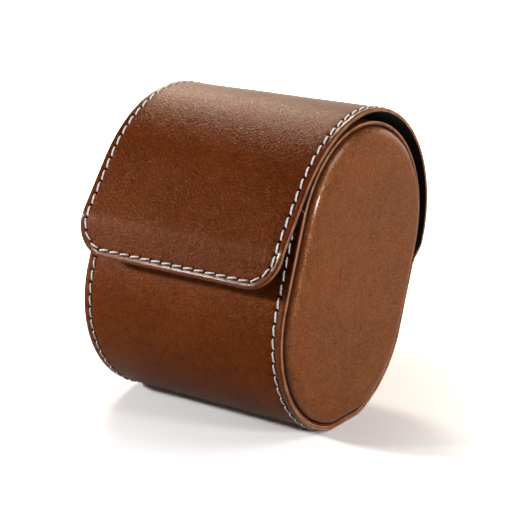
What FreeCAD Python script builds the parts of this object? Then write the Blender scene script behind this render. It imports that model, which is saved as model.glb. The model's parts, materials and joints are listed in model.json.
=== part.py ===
import FreeCAD, Part
import Sketcher
import math
import os
from collections import namedtuple

# Watch travel case: an oval leather roll on its side, open along the top, with a stiff
# flap lid that hinges on a crease at the back, laps over the front and closes on a small
# magnetic snap. A velvet pillow for one watch lies inside and lifts out.
#
# The cross-section is an upright oval, drawn in Y and Z about the centre of the body, and
# the case runs along X. The whole section leans back and rests on a small flat pressed
# into its underside. The origin is the middle of that flat. Front is -Y and up is +Z.

SIZES = {
    # body
    "body_length": 80.0,
    "half_depth": 37.3,
    "straight_rise": 14.2,
    "lean": 20.0,
    "flat_drop": 0.85,
    "body_leather": 0.8,
    "body_board": 1.4,
    "body_lining": 0.8,
    "glue_gap": 0.05,
    "lip_height": 16.6,
    "hinge_height": 9.6,
    "hinge_leather": 0.8,
    "hinge_margin": 1.0,
    # oval ends
    "rim_wall": 1.3,
    "rim_depth": 7.75,
    "rim_setback": 0.2,
    "end_board": 1.9,
    "end_lining": 0.7,
    "panel_gap": 0.3,
    "panel_side": 5.2,
    "panel_crown": 3.2,
    "panel_leather": 0.8,
    "panel_edge": 3.0,
    "panel_dome": 18.0,
    # lid
    "lid_length": 80.5,
    "lid_centre_back": 1.5,
    "lid_centre_rise": 16.5,
    "lid_top_radius": 39.0,
    "lid_front_radius": 50.0,
    "lid_front_start": 130.0,
    "lid_slant": 16.5,
    "lid_front": 45.3,
    "lid_turn_radius": 5.0,
    "lid_drop": 10.6,
    "lid_corner": 12.0,
    "lid_heel_radius": 7.0,
    "lid_heel_turn": 34.0,
    "lid_heel_line": 1.8,
    "lid_leather": 0.8,
    "lid_board": 0.4,
    "lid_lining": 0.3,
    # stitches
    "stitch_pitch": 4.35,
    "stitch_length": 3.4,
    "stitch_radius": 0.34,
    "stitch_proud": 0.1,
    "stitch_slant": 7.0,
    "stitch_lip_margin": 1.5,
    "stitch_hinge_margin": 0.5,
    "body_stitch_inset": 2.8,
    "lid_stitch_inset": 2.5,
    # magnetic snap
    "snap_height": -1.2,
    "snap_radius": 5.0,
    "snap_cup": 3.4,
    "snap_wall": 0.5,
    "snap_bevel": 0.4,
    "snap_magnet": 2.3,
    "snap_parting": 0.1,
    "snap_disc": 2.3,
    "snap_stem_radius": 1.5,
    "snap_washer_radius": 3.6,
    "snap_washer": 0.3,
    # watch pillow
    "pillow_length": 58.0,
    "pillow_radius": 23.5,
    "pillow_rise": 9.5,
    "pillow_back": 9.9,
    "pillow_height": -7.5,
    "pillow_velvet": 1.0,
    "pillow_draw": 1.4,
    "pillow_end": 1.2,
}

Segment = namedtuple("Segment", "start middle end size")
V = FreeCAD.Vector
# Small working lengths: play behind the end linings, how far a cut runs past the leather,
# the spacing of points along a stitch line, and a distance that counts as none.
LINING_CLEARANCE = 0.1
OVERRUN = 1.0
WALK_STEP = 0.05
SAME_PLACE = 1e-6
FAR = 200.0

# Crowned pieces: rings from the edge inwards, the part of the crown that its rounded edge
# takes, and the sections along the pillow and its end discs as shares of their length.
CROWN_RINGS = 7
CROWN_EDGE_SHARE = 0.82
PILLOW_PLACES = (-1.0, -0.8, 0.0, 0.8, 1.0)
PILLOW_DRAW_POWER = 5
PILLOW_END_PLACES = (0.0, 0.5, 0.85, 0.97)


class Measure:
    """A length with the spreadsheet formula that it comes from."""

    def __init__(self, value, text):
        self.value = float(value)
        self.text = text

    def combine(self, other, sign, value):
        other_text = other.text if isinstance(other, Measure) else repr(float(other))
        return Measure(value, f"({self.text} {sign} {other_text})")

    def __float__(self):
        return self.value

    def __add__(self, other):
        return self.combine(other, "+", self.value + float(other))

    def __sub__(self, other):
        return self.combine(other, "-", self.value - float(other))

    def __mul__(self, other):
        return self.combine(other, "*", self.value * float(other))

    def __truediv__(self, other):
        return self.combine(other, "/", self.value / float(other))


class Sizes:
    """The driving dimensions, held in the document's spreadsheet and read as measures."""

    def __init__(self, document):
        self.sheet = document.addObject("Spreadsheet::Sheet", "Sizes")
        for row, (name, value) in enumerate(SIZES.items(), start=1):
            self.sheet.set(f"A{row}", name)
            self.sheet.set(f"B{row}", str(value))
            self.sheet.setAlias(f"B{row}", name)

    def __getattr__(self, name):
        return Measure(SIZES[name], f"Sizes.{name}")


document = FreeCAD.newDocument("WatchTravelCase")
size = Sizes(document)
document.recompute()
subparts = []


# Section geometry

def polar(centre, radius, angle):
    """Point at an angle in degrees on a circle of the section."""
    turn = math.radians(angle)
    return V(centre.x + float(radius) * math.cos(turn), centre.y + float(radius) * math.sin(turn), 0)


def arc(centre, radius, start, end):
    """Segment along a circle, from one angle to another, in degrees."""
    middle = polar(centre, radius, (start + end) / 2)
    return Segment(polar(centre, radius, start), middle, polar(centre, radius, end), radius)


def line(start, end):
    """Straight segment."""
    return Segment(start, None, end, None)


def chain(segments):
    """Fill the gaps between segments with straight lines and close the outline."""
    outline = []
    for index, segment in enumerate(segments):
        outline.append(segment)
        following = segments[(index + 1) % len(segments)]
        if segment.end.distanceToPoint(following.start) > SAME_PLACE:
            outline.append(line(segment.end, following.start))
    return outline


def backwards(segments):
    """The same line walked the other way."""
    return [Segment(s.end, s.middle, s.start, s.size) for s in reversed(segments)]


def polyline(points):
    """Straight segments from point to point, closed."""
    return chain([line(a, b) for a, b in zip(points, points[1:])])


def flat_half_angle(inset):
    """Half the angle that the flat on the underside takes out of the bottom arc."""
    radius = SIZES["half_depth"] - float(inset)
    return math.degrees(math.acos(1 - SIZES["flat_drop"] / radius))


def bottom_arcs(inset):
    """The bottom of the oval from front to back, in two arcs beside the flat."""
    radius = size.half_depth - inset
    centre = V(0, -SIZES["straight_rise"], 0)
    downwards = 270 + SIZES["lean"]
    half = flat_half_angle(inset)
    return [arc(centre, radius, 180, downwards - half), arc(centre, radius, downwards + half, 360)]


def body_line(inset, front_top, back_top):
    """The U of the body at an inset from its outside, from the front lip to the back."""
    half_depth = float(size.half_depth - inset)
    front, back = bottom_arcs(inset)
    first = line(V(-half_depth, float(front_top), 0), front.start)
    last = line(back.end, V(half_depth, float(back_top), 0))
    return chain([first, front, back, last])[:-1]


def oval(inset):
    """The closed oval at an inset from the outside of the body."""
    radius = size.half_depth - inset
    top = V(0, SIZES["straight_rise"], 0)
    return chain(bottom_arcs(inset) + [arc(top, radius, 0, 90), arc(top, radius, 90, 180)])


def plain_oval(centre, radius, rise):
    """A closed oval with no flat, for the pillow."""
    top = V(centre.x, centre.y + float(rise), 0)
    bottom = V(centre.x, centre.y - float(rise), 0)
    arcs = [arc(top, radius, 0, 90), arc(top, radius, 90, 180)]
    return chain(arcs + [arc(bottom, radius, 180, 270), arc(bottom, radius, 270, 360)])


def lid_line(inset):
    """The flap at an inset from its outside, from the front edge over the top to the heel."""
    top_centre = V(SIZES["lid_centre_back"], SIZES["lid_centre_rise"], 0)
    start = SIZES["lid_front_start"]
    slant = 180 - SIZES["lid_slant"]
    turn = SIZES["lid_turn_radius"]
    front_centre = polar(top_centre, SIZES["lid_top_radius"] - SIZES["lid_front_radius"], start)
    front_end = polar(front_centre, SIZES["lid_front_radius"], slant)
    run = front_end.x + SIZES["lid_front"] - turn * (1 + math.cos(math.radians(slant)))
    run_length = run / math.sin(math.radians(slant))
    turn_height = (
        front_end.y + run_length * math.cos(math.radians(slant)) - turn * math.sin(math.radians(slant))
    )
    turn_centre = V(turn - SIZES["lid_front"], turn_height, 0)
    heel_centre = V(
        SIZES["lid_centre_back"] + SIZES["lid_top_radius"] - SIZES["lid_heel_radius"],
        SIZES["lid_centre_rise"],
        0,
    )
    heel_turn = SIZES["lid_heel_turn"]
    turn_arc = arc(turn_centre, size.lid_turn_radius - inset, 180, slant)
    heel_arc = arc(heel_centre, size.lid_heel_radius - inset, 0, -heel_turn)
    heel_end = polar(heel_arc.end, SIZES["lid_heel_line"], 270 - heel_turn)
    edge = line(V(turn_arc.start.x, -SIZES["lid_drop"], 0), turn_arc.start)
    return chain([
        edge,
        turn_arc,
        arc(front_centre, size.lid_front_radius - inset, slant, start),
        arc(top_centre, size.lid_top_radius - inset, start, 0),
        heel_arc,
        line(heel_arc.end, heel_end),
    ])[:-1]


# Making bodies

def plane(body, role):
    """One of a body's own three planes."""
    return next(f for f in body.Origin.OriginFeatures if f.Role == role)


def sub_part(name):
    """A named body of its own, leaning back with the whole case."""
    body = document.addObject("PartDesign::Body", name)
    body.Label = name
    body.Placement.Rotation = FreeCAD.Rotation(V(-1, 0, 0), SIZES["lean"])
    lean = "Sizes.lean * 1 deg"
    body.setExpression("Placement.Rotation.Angle", lean)
    body.setExpression("Placement.Base.y", f"Sizes.straight_rise * sin({lean})")
    drop = f"Sizes.straight_rise * cos({lean}) + Sizes.half_depth - Sizes.flat_drop"
    body.setExpression("Placement.Base.z", drop)
    subparts.append(body)
    return body


def hold(sketch, constraint, measure):
    """Add a dimension to a sketch and bind it to the sheet."""
    index = sketch.addConstraint(constraint)
    sketch.setExpression(f"Constraints[{index}]", measure.text)


def join_ends(sketch, first, second):
    """Tie the end of one sketched segment to the start of the next."""
    ends = {}
    for index, point in (first, second):
        near = min((1, 2), key=lambda end: sketch.getPoint(index, end).distanceToPoint(point))
        ends[index] = near
    sketch.addConstraint(
        Sketcher.Constraint("Coincident", first[0], ends[first[0]], second[0], ends[second[0]])
    )


def sketch_on(body, role, outlines, offset):
    """Sketch of closed outlines on one of the body's own planes, moved along its normal."""
    sketch = body.newObject("Sketcher::SketchObject", body.Name + "_sketch")
    sketch.AttachmentSupport = (plane(body, role), [""])
    sketch.MapMode = "FlatFace"
    if isinstance(offset, Measure):
        sketch.setExpression("AttachmentOffset.Base.z", offset.text)
    for outline in outlines:
        first = sketch.GeometryCount
        for segment in outline:
            if segment.middle is None:
                sketch.addGeometry(Part.LineSegment(segment.start, segment.end), False)
            else:
                sketch.addGeometry(Part.Arc(segment.start, segment.middle, segment.end), False)
        for index, segment in enumerate(outline):
            following = (index + 1) % len(outline)
            join_ends(sketch, (first + index, segment.end), (first + following, outline[following].start))
            if isinstance(segment.size, Measure):
                radius = Sketcher.Constraint("Radius", first + index, float(segment.size))
                hold(sketch, radius, segment.size)
    return sketch


def circle_sketch(body, role, radius, height, offset):
    """Sketch of one circle on the middle line of the case."""
    sketch = body.newObject("Sketcher::SketchObject", body.Name + "_circle")
    sketch.AttachmentSupport = (plane(body, role), [""])
    sketch.MapMode = "FlatFace"
    sketch.setExpression("AttachmentOffset.Base.z", offset.text)
    centre = V(0, float(height), 0)
    sketch.addGeometry(Part.Circle(centre, V(0, 0, 1), float(radius)), False)
    hold(sketch, Sketcher.Constraint("Radius", 0, float(radius)), radius)
    hold(sketch, Sketcher.Constraint("DistanceY", -1, 1, 0, 3, float(height)), height)
    return sketch


def pad(body, sketch, length, midplane=False, reverse=False, kind="Pad"):
    """Pad or pocket a sketch by a measure."""
    feature = body.newObject("PartDesign::" + kind, body.Name + "_" + kind.lower())
    feature.Profile = sketch
    feature.setExpression("Length", length.text)
    if midplane:
        feature.Midplane = True
    feature.Reversed = reverse
    return feature


def strip(name, outline, length):
    """A body with one outline of the section, run evenly to both ends."""
    body = sub_part(name)
    pad(body, sketch_on(body, "YZ_Plane", [outline], None), length, midplane=True)
    return body


def ribbon(outer, inner):
    """Outline of a sheet between two lines of the section."""
    return chain(outer + backwards(inner))


def drill(body, radius, height, start, depth):
    """A round hole square to the front, from a distance in front of the middle, going back."""
    sketch = circle_sketch(body, "XZ_Plane", radius, height, start)
    return pad(body, sketch, depth, kind="Pocket")


def turned(name, profile):
    """A round piece turned about the snap's axis, from corners of distance in front and radius."""
    body = sub_part(name)
    sketch = body.newObject("Sketcher::SketchObject", name + "_profile")
    sketch.AttachmentSupport = (plane(body, "YZ_Plane"), [""])
    sketch.MapMode = "FlatFace"
    sketch.setExpression("AttachmentOffset.Base.y", size.snap_height.text)
    corners = [V(-float(distance), float(radius), 0) for distance, radius in profile]
    for start, end in zip(corners, corners[1:] + corners[:1]):
        sketch.addGeometry(Part.LineSegment(start, end), False)
    for index, (distance, radius) in enumerate(profile):
        following = (index + 1) % len(profile)
        sketch.addConstraint(Sketcher.Constraint("Coincident", index, 2, following, 1))
        hold(sketch, Sketcher.Constraint("DistanceX", index, 1, -1, 1, float(distance)), distance)
        if radius is nothing:
            sketch.addConstraint(Sketcher.Constraint("PointOnObject", index, 1, -1))
        else:
            hold(sketch, Sketcher.Constraint("DistanceY", -1, 1, index, 1, float(radius)), radius)
    feature = body.newObject("PartDesign::Revolution", name + "_turning")
    feature.Profile = sketch
    feature.ReferenceAxis = (sketch, ["H_Axis"])
    feature.Angle = 360
    return body


def end_plate(name, side, inset, start, thickness):
    """An oval plate at one end, from a distance off the middle outwards."""
    body = sub_part(name)
    sketch = sketch_on(body, "YZ_Plane", [oval(inset)], start * side)
    pad(body, sketch, thickness, reverse=side < 0)
    return body


def loft(body, sketches, kind="AdditiveLoft", ruled=False):
    """Loft, or cut, through a row of sketches."""
    feature = body.newObject("PartDesign::" + kind, body.Name + "_loft")
    feature.Profile = sketches[0]
    feature.Sections = sketches[1:]
    feature.Ruled = ruled
    return feature


def crown_rise(step):
    """Share of the crown reached at a step in from the edge: a round edge, then a low dome."""
    to_edge = 1 - min(1.0, step / SIZES["panel_edge"])
    to_middle = 1 - step / SIZES["panel_dome"]
    return CROWN_EDGE_SHARE * math.sqrt(1 - to_edge ** 2) + (1 - CROWN_EDGE_SHARE) * (1 - to_middle ** 2)


def crown_sketches(body, side, inset, start, side_depth, crown):
    """Oval sections of a crowned pad: a straight side, then rings that crowd near the edge."""
    sketches = []
    places = [(0.0, start)]
    for ring in range(CROWN_RINGS + 1):
        step = SIZES["panel_dome"] * (ring / CROWN_RINGS) ** 3
        places.append((step, start + side_depth + crown * crown_rise(step)))
    for step, place in places:
        sketches.append(sketch_on(body, "YZ_Plane", [oval(inset + step)], place * side))
    return sketches


# Insets of the layers from the outside of the body

leather_inset = size.body_leather
board_outer = leather_inset + size.glue_gap
board_inner = board_outer + size.body_board
lining_outer = board_inner + size.glue_gap
lining_inner = lining_outer + size.body_lining
rim_inner = board_outer + size.rim_wall
panel_inset = rim_inner + size.panel_gap
panel_base = size.body_length / 2 - size.rim_setback - size.rim_depth + size.end_board
wall_inside = size.body_length / 2 - size.rim_setback - size.rim_depth
hinge_start = size.hinge_height - size.hinge_margin
nothing = Measure(0.0, "0")


def make_body_wrap():
    """Outer leather, board and lining of the U, with the leather turned over the front lip."""
    inside_length = (wall_inside - size.glue_gap) * 2.0
    board_top = size.lip_height - size.body_leather - size.glue_gap

    outer = body_line(nothing, size.lip_height, hinge_start)
    inner = body_line(leather_inset, size.lip_height, hinge_start)
    leather = strip("body_leather", ribbon(outer, inner), size.body_length)
    hem_front = -float(size.half_depth - size.body_leather / 2)
    hem_back = -float(size.half_depth - lining_inner)
    hem_top = float(size.lip_height)
    hem_bottom = float(size.lip_height - size.body_leather)
    corners = [V(hem_front, hem_bottom, 0), V(hem_back, hem_bottom, 0), V(hem_back, hem_top, 0)]
    corners += [V(hem_front, hem_top, 0), corners[0]]
    pad(leather, sketch_on(leather, "YZ_Plane", [polyline(corners)], None), inside_length, midplane=True)
    hole = size.snap_stem_radius + size.glue_gap
    through = size.body_leather + 2 * OVERRUN
    drill(leather, hole, size.snap_height, size.half_depth + OVERRUN, through)

    layers = (("body_board", board_outer, board_inner), ("body_lining", lining_outer, lining_inner))
    for name, outside, inside in layers:
        top = hinge_start
        faces = [body_line(inset, board_top, top) for inset in (outside, inside)]
        body = strip(name, ribbon(*faces), inside_length)
        if name == "body_board":
            drill(body, hole, size.snap_height, size.half_depth, size.body_board + 2 * OVERRUN)
            recess = size.snap_washer_radius + size.glue_gap
            recess_start = size.half_depth - board_inner + size.snap_washer + size.glue_gap
            drill(body, recess, size.snap_height, recess_start, size.body_board)


def make_end(word, side):
    """One oval end: rim, board, foam, crowned leather panel and inside lining."""
    rim = sub_part(word + "_end_rim")
    rings = [oval(board_outer), oval(rim_inner)]
    pad(rim, sketch_on(rim, "YZ_Plane", rings, wall_inside * side), size.rim_depth, reverse=side < 0)

    board_inset = rim_inner + size.glue_gap
    end_plate(word + "_end_board", side, board_inset, wall_inside, size.end_board - size.glue_gap)

    lining_inset = lining_inner + LINING_CLEARANCE
    lining_start = wall_inside - size.end_lining - size.glue_gap
    end_plate(word + "_end_lining", side, lining_inset, lining_start, size.end_lining)

    skin = size.panel_leather
    panel = sub_part(word + "_end_leather")
    outside = (panel_inset, panel_base, size.panel_side, size.panel_crown)
    loft(panel, crown_sketches(panel, side, *outside), ruled=True)
    cavity = (panel_inset + skin, panel_base, size.panel_side - skin, size.panel_crown)
    loft(panel, crown_sketches(panel, side, *cavity), "SubtractiveLoft", ruled=True)

    foam = sub_part(word + "_end_foam")
    gap = size.glue_gap
    filling = (
        panel_inset + skin + gap, panel_base + gap, size.panel_side - skin - gap * 2.0, size.panel_crown
    )
    loft(foam, crown_sketches(foam, side, *filling), ruled=True)


def make_lid():
    """Leather, stiffener and lining of the flap, with its two front corners rounded."""
    layers = (
        ("lid_leather", nothing, size.lid_leather),
        ("lid_board", size.lid_leather + size.glue_gap, size.lid_board),
        ("lid_lining", size.lid_leather + size.lid_board + size.glue_gap * 2.0, size.lid_lining),
    )
    for name, inset, thickness in layers:
        outline = ribbon(lid_line(inset), lid_line(inset + thickness))
        body = strip(name, outline, size.lid_length)
        trim_corners(body)
        if name == "lid_board":
            radius = size.snap_washer_radius + size.glue_gap
            drill(body, radius, size.snap_height, size.lid_front, size.lid_turn_radius)
        if name == "lid_lining":
            radius = size.snap_stem_radius + size.glue_gap
            drill(body, radius, size.snap_height, size.lid_front, size.lid_turn_radius)


def trim_corners(body):
    """Cut both front corners of the flap round, seen from the front."""
    half = float(size.lid_length) / 2
    bottom = -SIZES["lid_drop"]
    radius = SIZES["lid_corner"]
    outlines = []
    for side in (-1, 1):
        centre = V(side * (half - radius), bottom + radius, 0)
        middle_angle = 270 + side * 45
        low = V(centre.x, bottom, 0)
        high = V(side * half, centre.y, 0)
        round_edge = Segment(low, polar(centre, radius, middle_angle), high, size.lid_corner)
        outside = V(side * (half + OVERRUN), centre.y, 0)
        corner = V(outside.x, bottom - OVERRUN, 0)
        below = V(centre.x, corner.y, 0)
        outlines.append([round_edge, line(high, outside), line(outside, corner), line(corner, below),
                         line(below, low)])
    sketch = sketch_on(body, "XZ_Plane", outlines, size.lid_front + OVERRUN)
    pad(body, sketch, size.lid_front, kind="Pocket")


def make_hinge():
    """The folded leather outside the crease and the folded lining inside it."""
    turn = math.radians(SIZES["lid_heel_turn"])
    along = V(math.sin(turn), math.cos(turn), 0)
    inwards = V(-math.cos(turn), math.sin(turn), 0)
    heel = lid_line(nothing)[-1].end
    reach = SIZES["glue_gap"]
    outer_end = heel - along * reach
    half_depth = SIZES["half_depth"]
    crease = outer_end - along * ((outer_end.x - half_depth) / along.x)
    thick = SIZES["hinge_leather"]
    low = float(hinge_start + size.glue_gap)
    inner_end = outer_end + inwards * thick
    inner_crease = inner_end - along * ((inner_end.x - half_depth + thick) / along.x)
    points = [V(half_depth, low, 0), crease, outer_end, inner_end, inner_crease]
    points.append(V(half_depth - thick, low, 0))
    strip("hinge_leather", polyline(points + points[:1]), size.body_length)

    gap = SIZES["glue_gap"]
    lining_thick = float(size.lid_board + size.lid_lining)
    face_end = inner_end + inwards * gap
    face_crease = inner_crease + inwards * gap
    back_end = face_end + inwards * lining_thick
    back_crease = V(face_crease.x - lining_thick, face_crease.y + lining_thick / 2, 0)
    wall_front = float(size.half_depth - lining_inner)
    wall_back = half_depth - thick - gap
    points = [V(wall_back, low, 0), V(wall_back, face_crease.y, 0), face_end, back_end, back_crease,
              V(wall_front, low + lining_thick, 0), V(wall_front, low, 0)]
    strip("hinge_lining", polyline(points + points[:1]), (wall_inside - size.glue_gap) * 2.0)


def make_snap():
    """Magnetic snap: cup, magnet, riveted stem and washer on the body; disc and washer on the lid."""
    gap = size.glue_gap
    radius = size.snap_radius
    bevel = size.snap_bevel
    stem_radius = size.snap_stem_radius
    hole = stem_radius + gap / 2.0
    front = size.half_depth + gap
    face = front + size.snap_cup
    hollow_radius = radius - size.snap_wall
    hollow_end = face - size.snap_wall
    turned("snap_cup", [
        (front, radius), (face - bevel, radius), (face, radius - bevel), (face, nothing),
        (hollow_end, nothing), (hollow_end, hollow_radius), (front, hollow_radius),
    ])
    plate = front + size.snap_wall
    disc_radius = hollow_radius - gap
    stem_end = size.half_depth - board_inner + gap
    turned("snap_cup_stem", [
        (stem_end, nothing), (stem_end, stem_radius), (front, stem_radius),
        (front, disc_radius), (plate, disc_radius), (plate, nothing),
    ])
    magnet_start = plate + gap
    magnet_end = magnet_start + size.snap_magnet
    turned("snap_magnet", [
        (magnet_start, nothing), (magnet_start, disc_radius),
        (magnet_end, disc_radius), (magnet_end, nothing),
    ])
    washer("snap_cup_washer", size.half_depth - board_inner, hole)

    leather_back = size.lid_front - size.lid_leather - gap
    parting = face + size.snap_parting
    back = parting + size.snap_disc
    turned("snap_disc", [
        (parting, nothing), (parting, radius - bevel), (parting + bevel, radius), (back, radius),
        (back, stem_radius), (leather_back, stem_radius), (leather_back, nothing),
    ])
    washer("snap_disc_washer", leather_back - size.snap_washer - gap, hole)


def washer(name, start, hole):
    """A flat ring under the head of a snap's stem."""
    end = start + size.snap_washer
    outside = size.snap_washer_radius
    turned(name, [(start, hole), (start, outside), (end, outside), (end, hole)])


def make_pillow():
    """Foam core, velvet sleeve and two end discs, drawn in a little towards the ends."""
    centre = V(SIZES["pillow_back"], SIZES["pillow_height"], 0)
    half_length = size.pillow_length / 2
    foam_inset = size.pillow_velvet
    foam_half = half_length - size.pillow_end - size.glue_gap

    def barrel(body, inset, half):
        sketches = []
        for place in PILLOW_PLACES:
            draw = abs(place) ** PILLOW_DRAW_POWER
            radius = size.pillow_radius - inset - size.pillow_draw * draw
            outline = plain_oval(centre, radius, size.pillow_rise)
            sketches.append(sketch_on(body, "YZ_Plane", [outline], half * place))
        return sketches

    cover = sub_part("pillow_cover")
    loft(cover, barrel(cover, nothing, half_length - size.pillow_end))
    loft(cover, barrel(cover, foam_inset, half_length - size.pillow_end), "SubtractiveLoft")
    core = sub_part("pillow_core")
    loft(core, barrel(core, foam_inset + size.glue_gap, foam_half))
    for word, side in (("left", -1), ("right", 1)):
        disc = sub_part(word + "_pillow_end")
        start = half_length - size.pillow_end + size.glue_gap
        sketches = []
        for place in PILLOW_END_PLACES:
            draw = 1 - math.sqrt(1 - place ** 2)
            radius = size.pillow_radius - size.pillow_draw - size.pillow_end * draw
            outline = plain_oval(centre, radius, size.pillow_rise)
            at = start + (size.pillow_end - size.glue_gap) * place
            sketches.append(sketch_on(disc, "YZ_Plane", [outline], at * side))
        loft(disc, sketches)


# Stitches

def walk(segments, inset_start, inset_end):
    """Evenly spaced stitch centres along a line of the section, each with its direction."""
    wire = Part.Wire([
        Part.LineSegment(s.start, s.end).toShape() if s.middle is None
        else Part.Arc(s.start, s.middle, s.end).toShape()
        for s in segments
    ])
    length = wire.Length - inset_start - inset_end
    count = max(1, round(length / SIZES["stitch_pitch"]))
    points = wire.discretize(Number=int(wire.Length / WALK_STEP))
    step = wire.Length / (len(points) - 1)
    stitches = []
    for number in range(count):
        along = inset_start + length * (number + 0.5) / count
        index = min(int(along / step), len(points) - 2)
        part = along / step - index
        point = points[index] * (1 - part) + points[index + 1] * part
        direction = (points[index + 1] - points[index]).normalize()
        stitches.append((point, direction))
    return stitches


def capsule():
    """One stitch along X: a round thread with domed ends."""
    radius = SIZES["stitch_radius"]
    half = SIZES["stitch_length"] / 2 - radius
    left = Part.makeSphere(radius, V(-half, 0, 0))
    right = Part.makeSphere(radius, V(half, 0, 0))
    middle = Part.makeCylinder(radius, 2 * half, V(-half, 0, 0), V(1, 0, 0))
    return middle.fuse([left, right]).removeSplitter()


def laid(thread, place, direction, outwards):
    """A stitch laid on a surface, turned a little off its line."""
    across = outwards.cross(direction)
    frame = FreeCAD.Matrix(
        direction.x, across.x, outwards.x, place.x,
        direction.y, across.y, outwards.y, place.y,
        direction.z, across.z, outwards.z, place.z,
        0, 0, 0, 1,
    )
    slant = FreeCAD.Placement(V(0, 0, 0), FreeCAD.Rotation(V(0, 0, 1), SIZES["stitch_slant"]))
    piece = thread.copy()
    piece.Placement = FreeCAD.Placement(frame) * slant
    return piece


def stitch_node(name, places):
    """One node of separate stitches, cut flat where the case stands on them."""
    thread = capsule()
    lean = SIZES["lean"]
    pivot = V(
        0,
        SIZES["straight_rise"] * math.sin(math.radians(lean)),
        SIZES["straight_rise"] * math.cos(math.radians(lean)) + SIZES["half_depth"] - SIZES["flat_drop"],
    )
    stand = FreeCAD.Placement(pivot, FreeCAD.Rotation(V(-1, 0, 0), lean))
    floor = Part.makeBox(FAR, FAR, FAR, V(-FAR / 2, -FAR / 2, -FAR))
    solids = []
    for place, direction, outwards in places:
        piece = laid(thread, place + outwards * SIZES["stitch_proud"], direction, outwards)
        piece.Placement = stand * piece.Placement
        if piece.BoundBox.ZMin < 0:
            piece = piece.cut(floor)
        solids += piece.Solids
    feature = document.addObject("Part::Feature", name)
    feature.Label = name
    feature.Shape = Part.makeCompound(solids)
    subparts.append(feature)


def make_stitches():
    """A row beside each end of the body, and one row round three sides of the flap."""
    body_row = body_line(nothing, size.lip_height, hinge_start)
    hinge_margin = SIZES["stitch_hinge_margin"]
    rows = walk(body_row, SIZES["stitch_lip_margin"], hinge_margin)
    for word, side in (("left", -1), ("right", 1)):
        x = side * float(size.body_length / 2 - size.body_stitch_inset)
        places = []
        for point, direction in rows:
            along = V(0, direction.x, direction.y) * side
            outwards = V(0, direction.y, -direction.x)
            places.append((V(x, point.x, point.y), along, outwards))
        stitch_node(word + "_body_stitches", places)

    inset = SIZES["lid_stitch_inset"]
    half = float(size.lid_length) / 2 - inset
    corner = SIZES["lid_corner"] - inset
    outer = lid_line(nothing)
    side_rows = walk(outer, SIZES["lid_corner"], hinge_margin)
    places = []
    for side in (-1, 1):
        for point, direction in side_rows:
            along = V(0, direction.x, direction.y) * side
            outwards = V(0, -direction.y, direction.x)
            places.append((V(side * half, point.x, point.y), along, outwards))
    front = -SIZES["lid_front"]
    low = inset - SIZES["lid_drop"]
    edge = [
        arc(V(-half + corner, low + corner, 0), corner, 180, 270),
        arc(V(half - corner, low + corner, 0), corner, 270, 360),
    ]
    for point, direction in walk([edge[0], line(edge[0].end, edge[1].start), edge[1]], 0.0, 0.0):
        places.append((V(point.x, front, point.y), V(direction.x, 0, direction.y), V(0, -1, 0)))
    stitch_node("lid_stitches", places)


def check_and_export():
    """Refuse a failed object or an empty shape, then write one file for each sub-part."""
    document.recompute()
    for item in document.Objects:
        if "Invalid" in item.State or "Error" in item.State:
            raise RuntimeError(f"{item.Label} failed: {item.State}")
    os.makedirs("parts", exist_ok=True)
    for item in subparts:
        shape = item.Shape
        if shape.isNull() or not shape.isValid() or not shape.Solids:
            raise RuntimeError(f"{item.Label} has no valid solid")
        shape.exportStep(os.path.join("parts", item.Label + ".step"))
        box = shape.BoundBox
        count = len(shape.Solids)
        print(f"{item.Label}: {count} solids, {shape.Volume:.1f} mm3, z {box.ZMin:.2f} to {box.ZMax:.2f}")


make_body_wrap()
make_end("left", -1)
make_end("right", 1)
make_hinge()
make_lid()
make_snap()
make_pillow()
make_stitches()
check_and_export()
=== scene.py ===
"""Looks of the watch travel case: stitched leather, padded ends, velvet inside, white studio."""

import json
import logging
import math
from dataclasses import dataclass, field
from enum import Enum
from typing import Any, Callable, Sequence, Union

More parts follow.
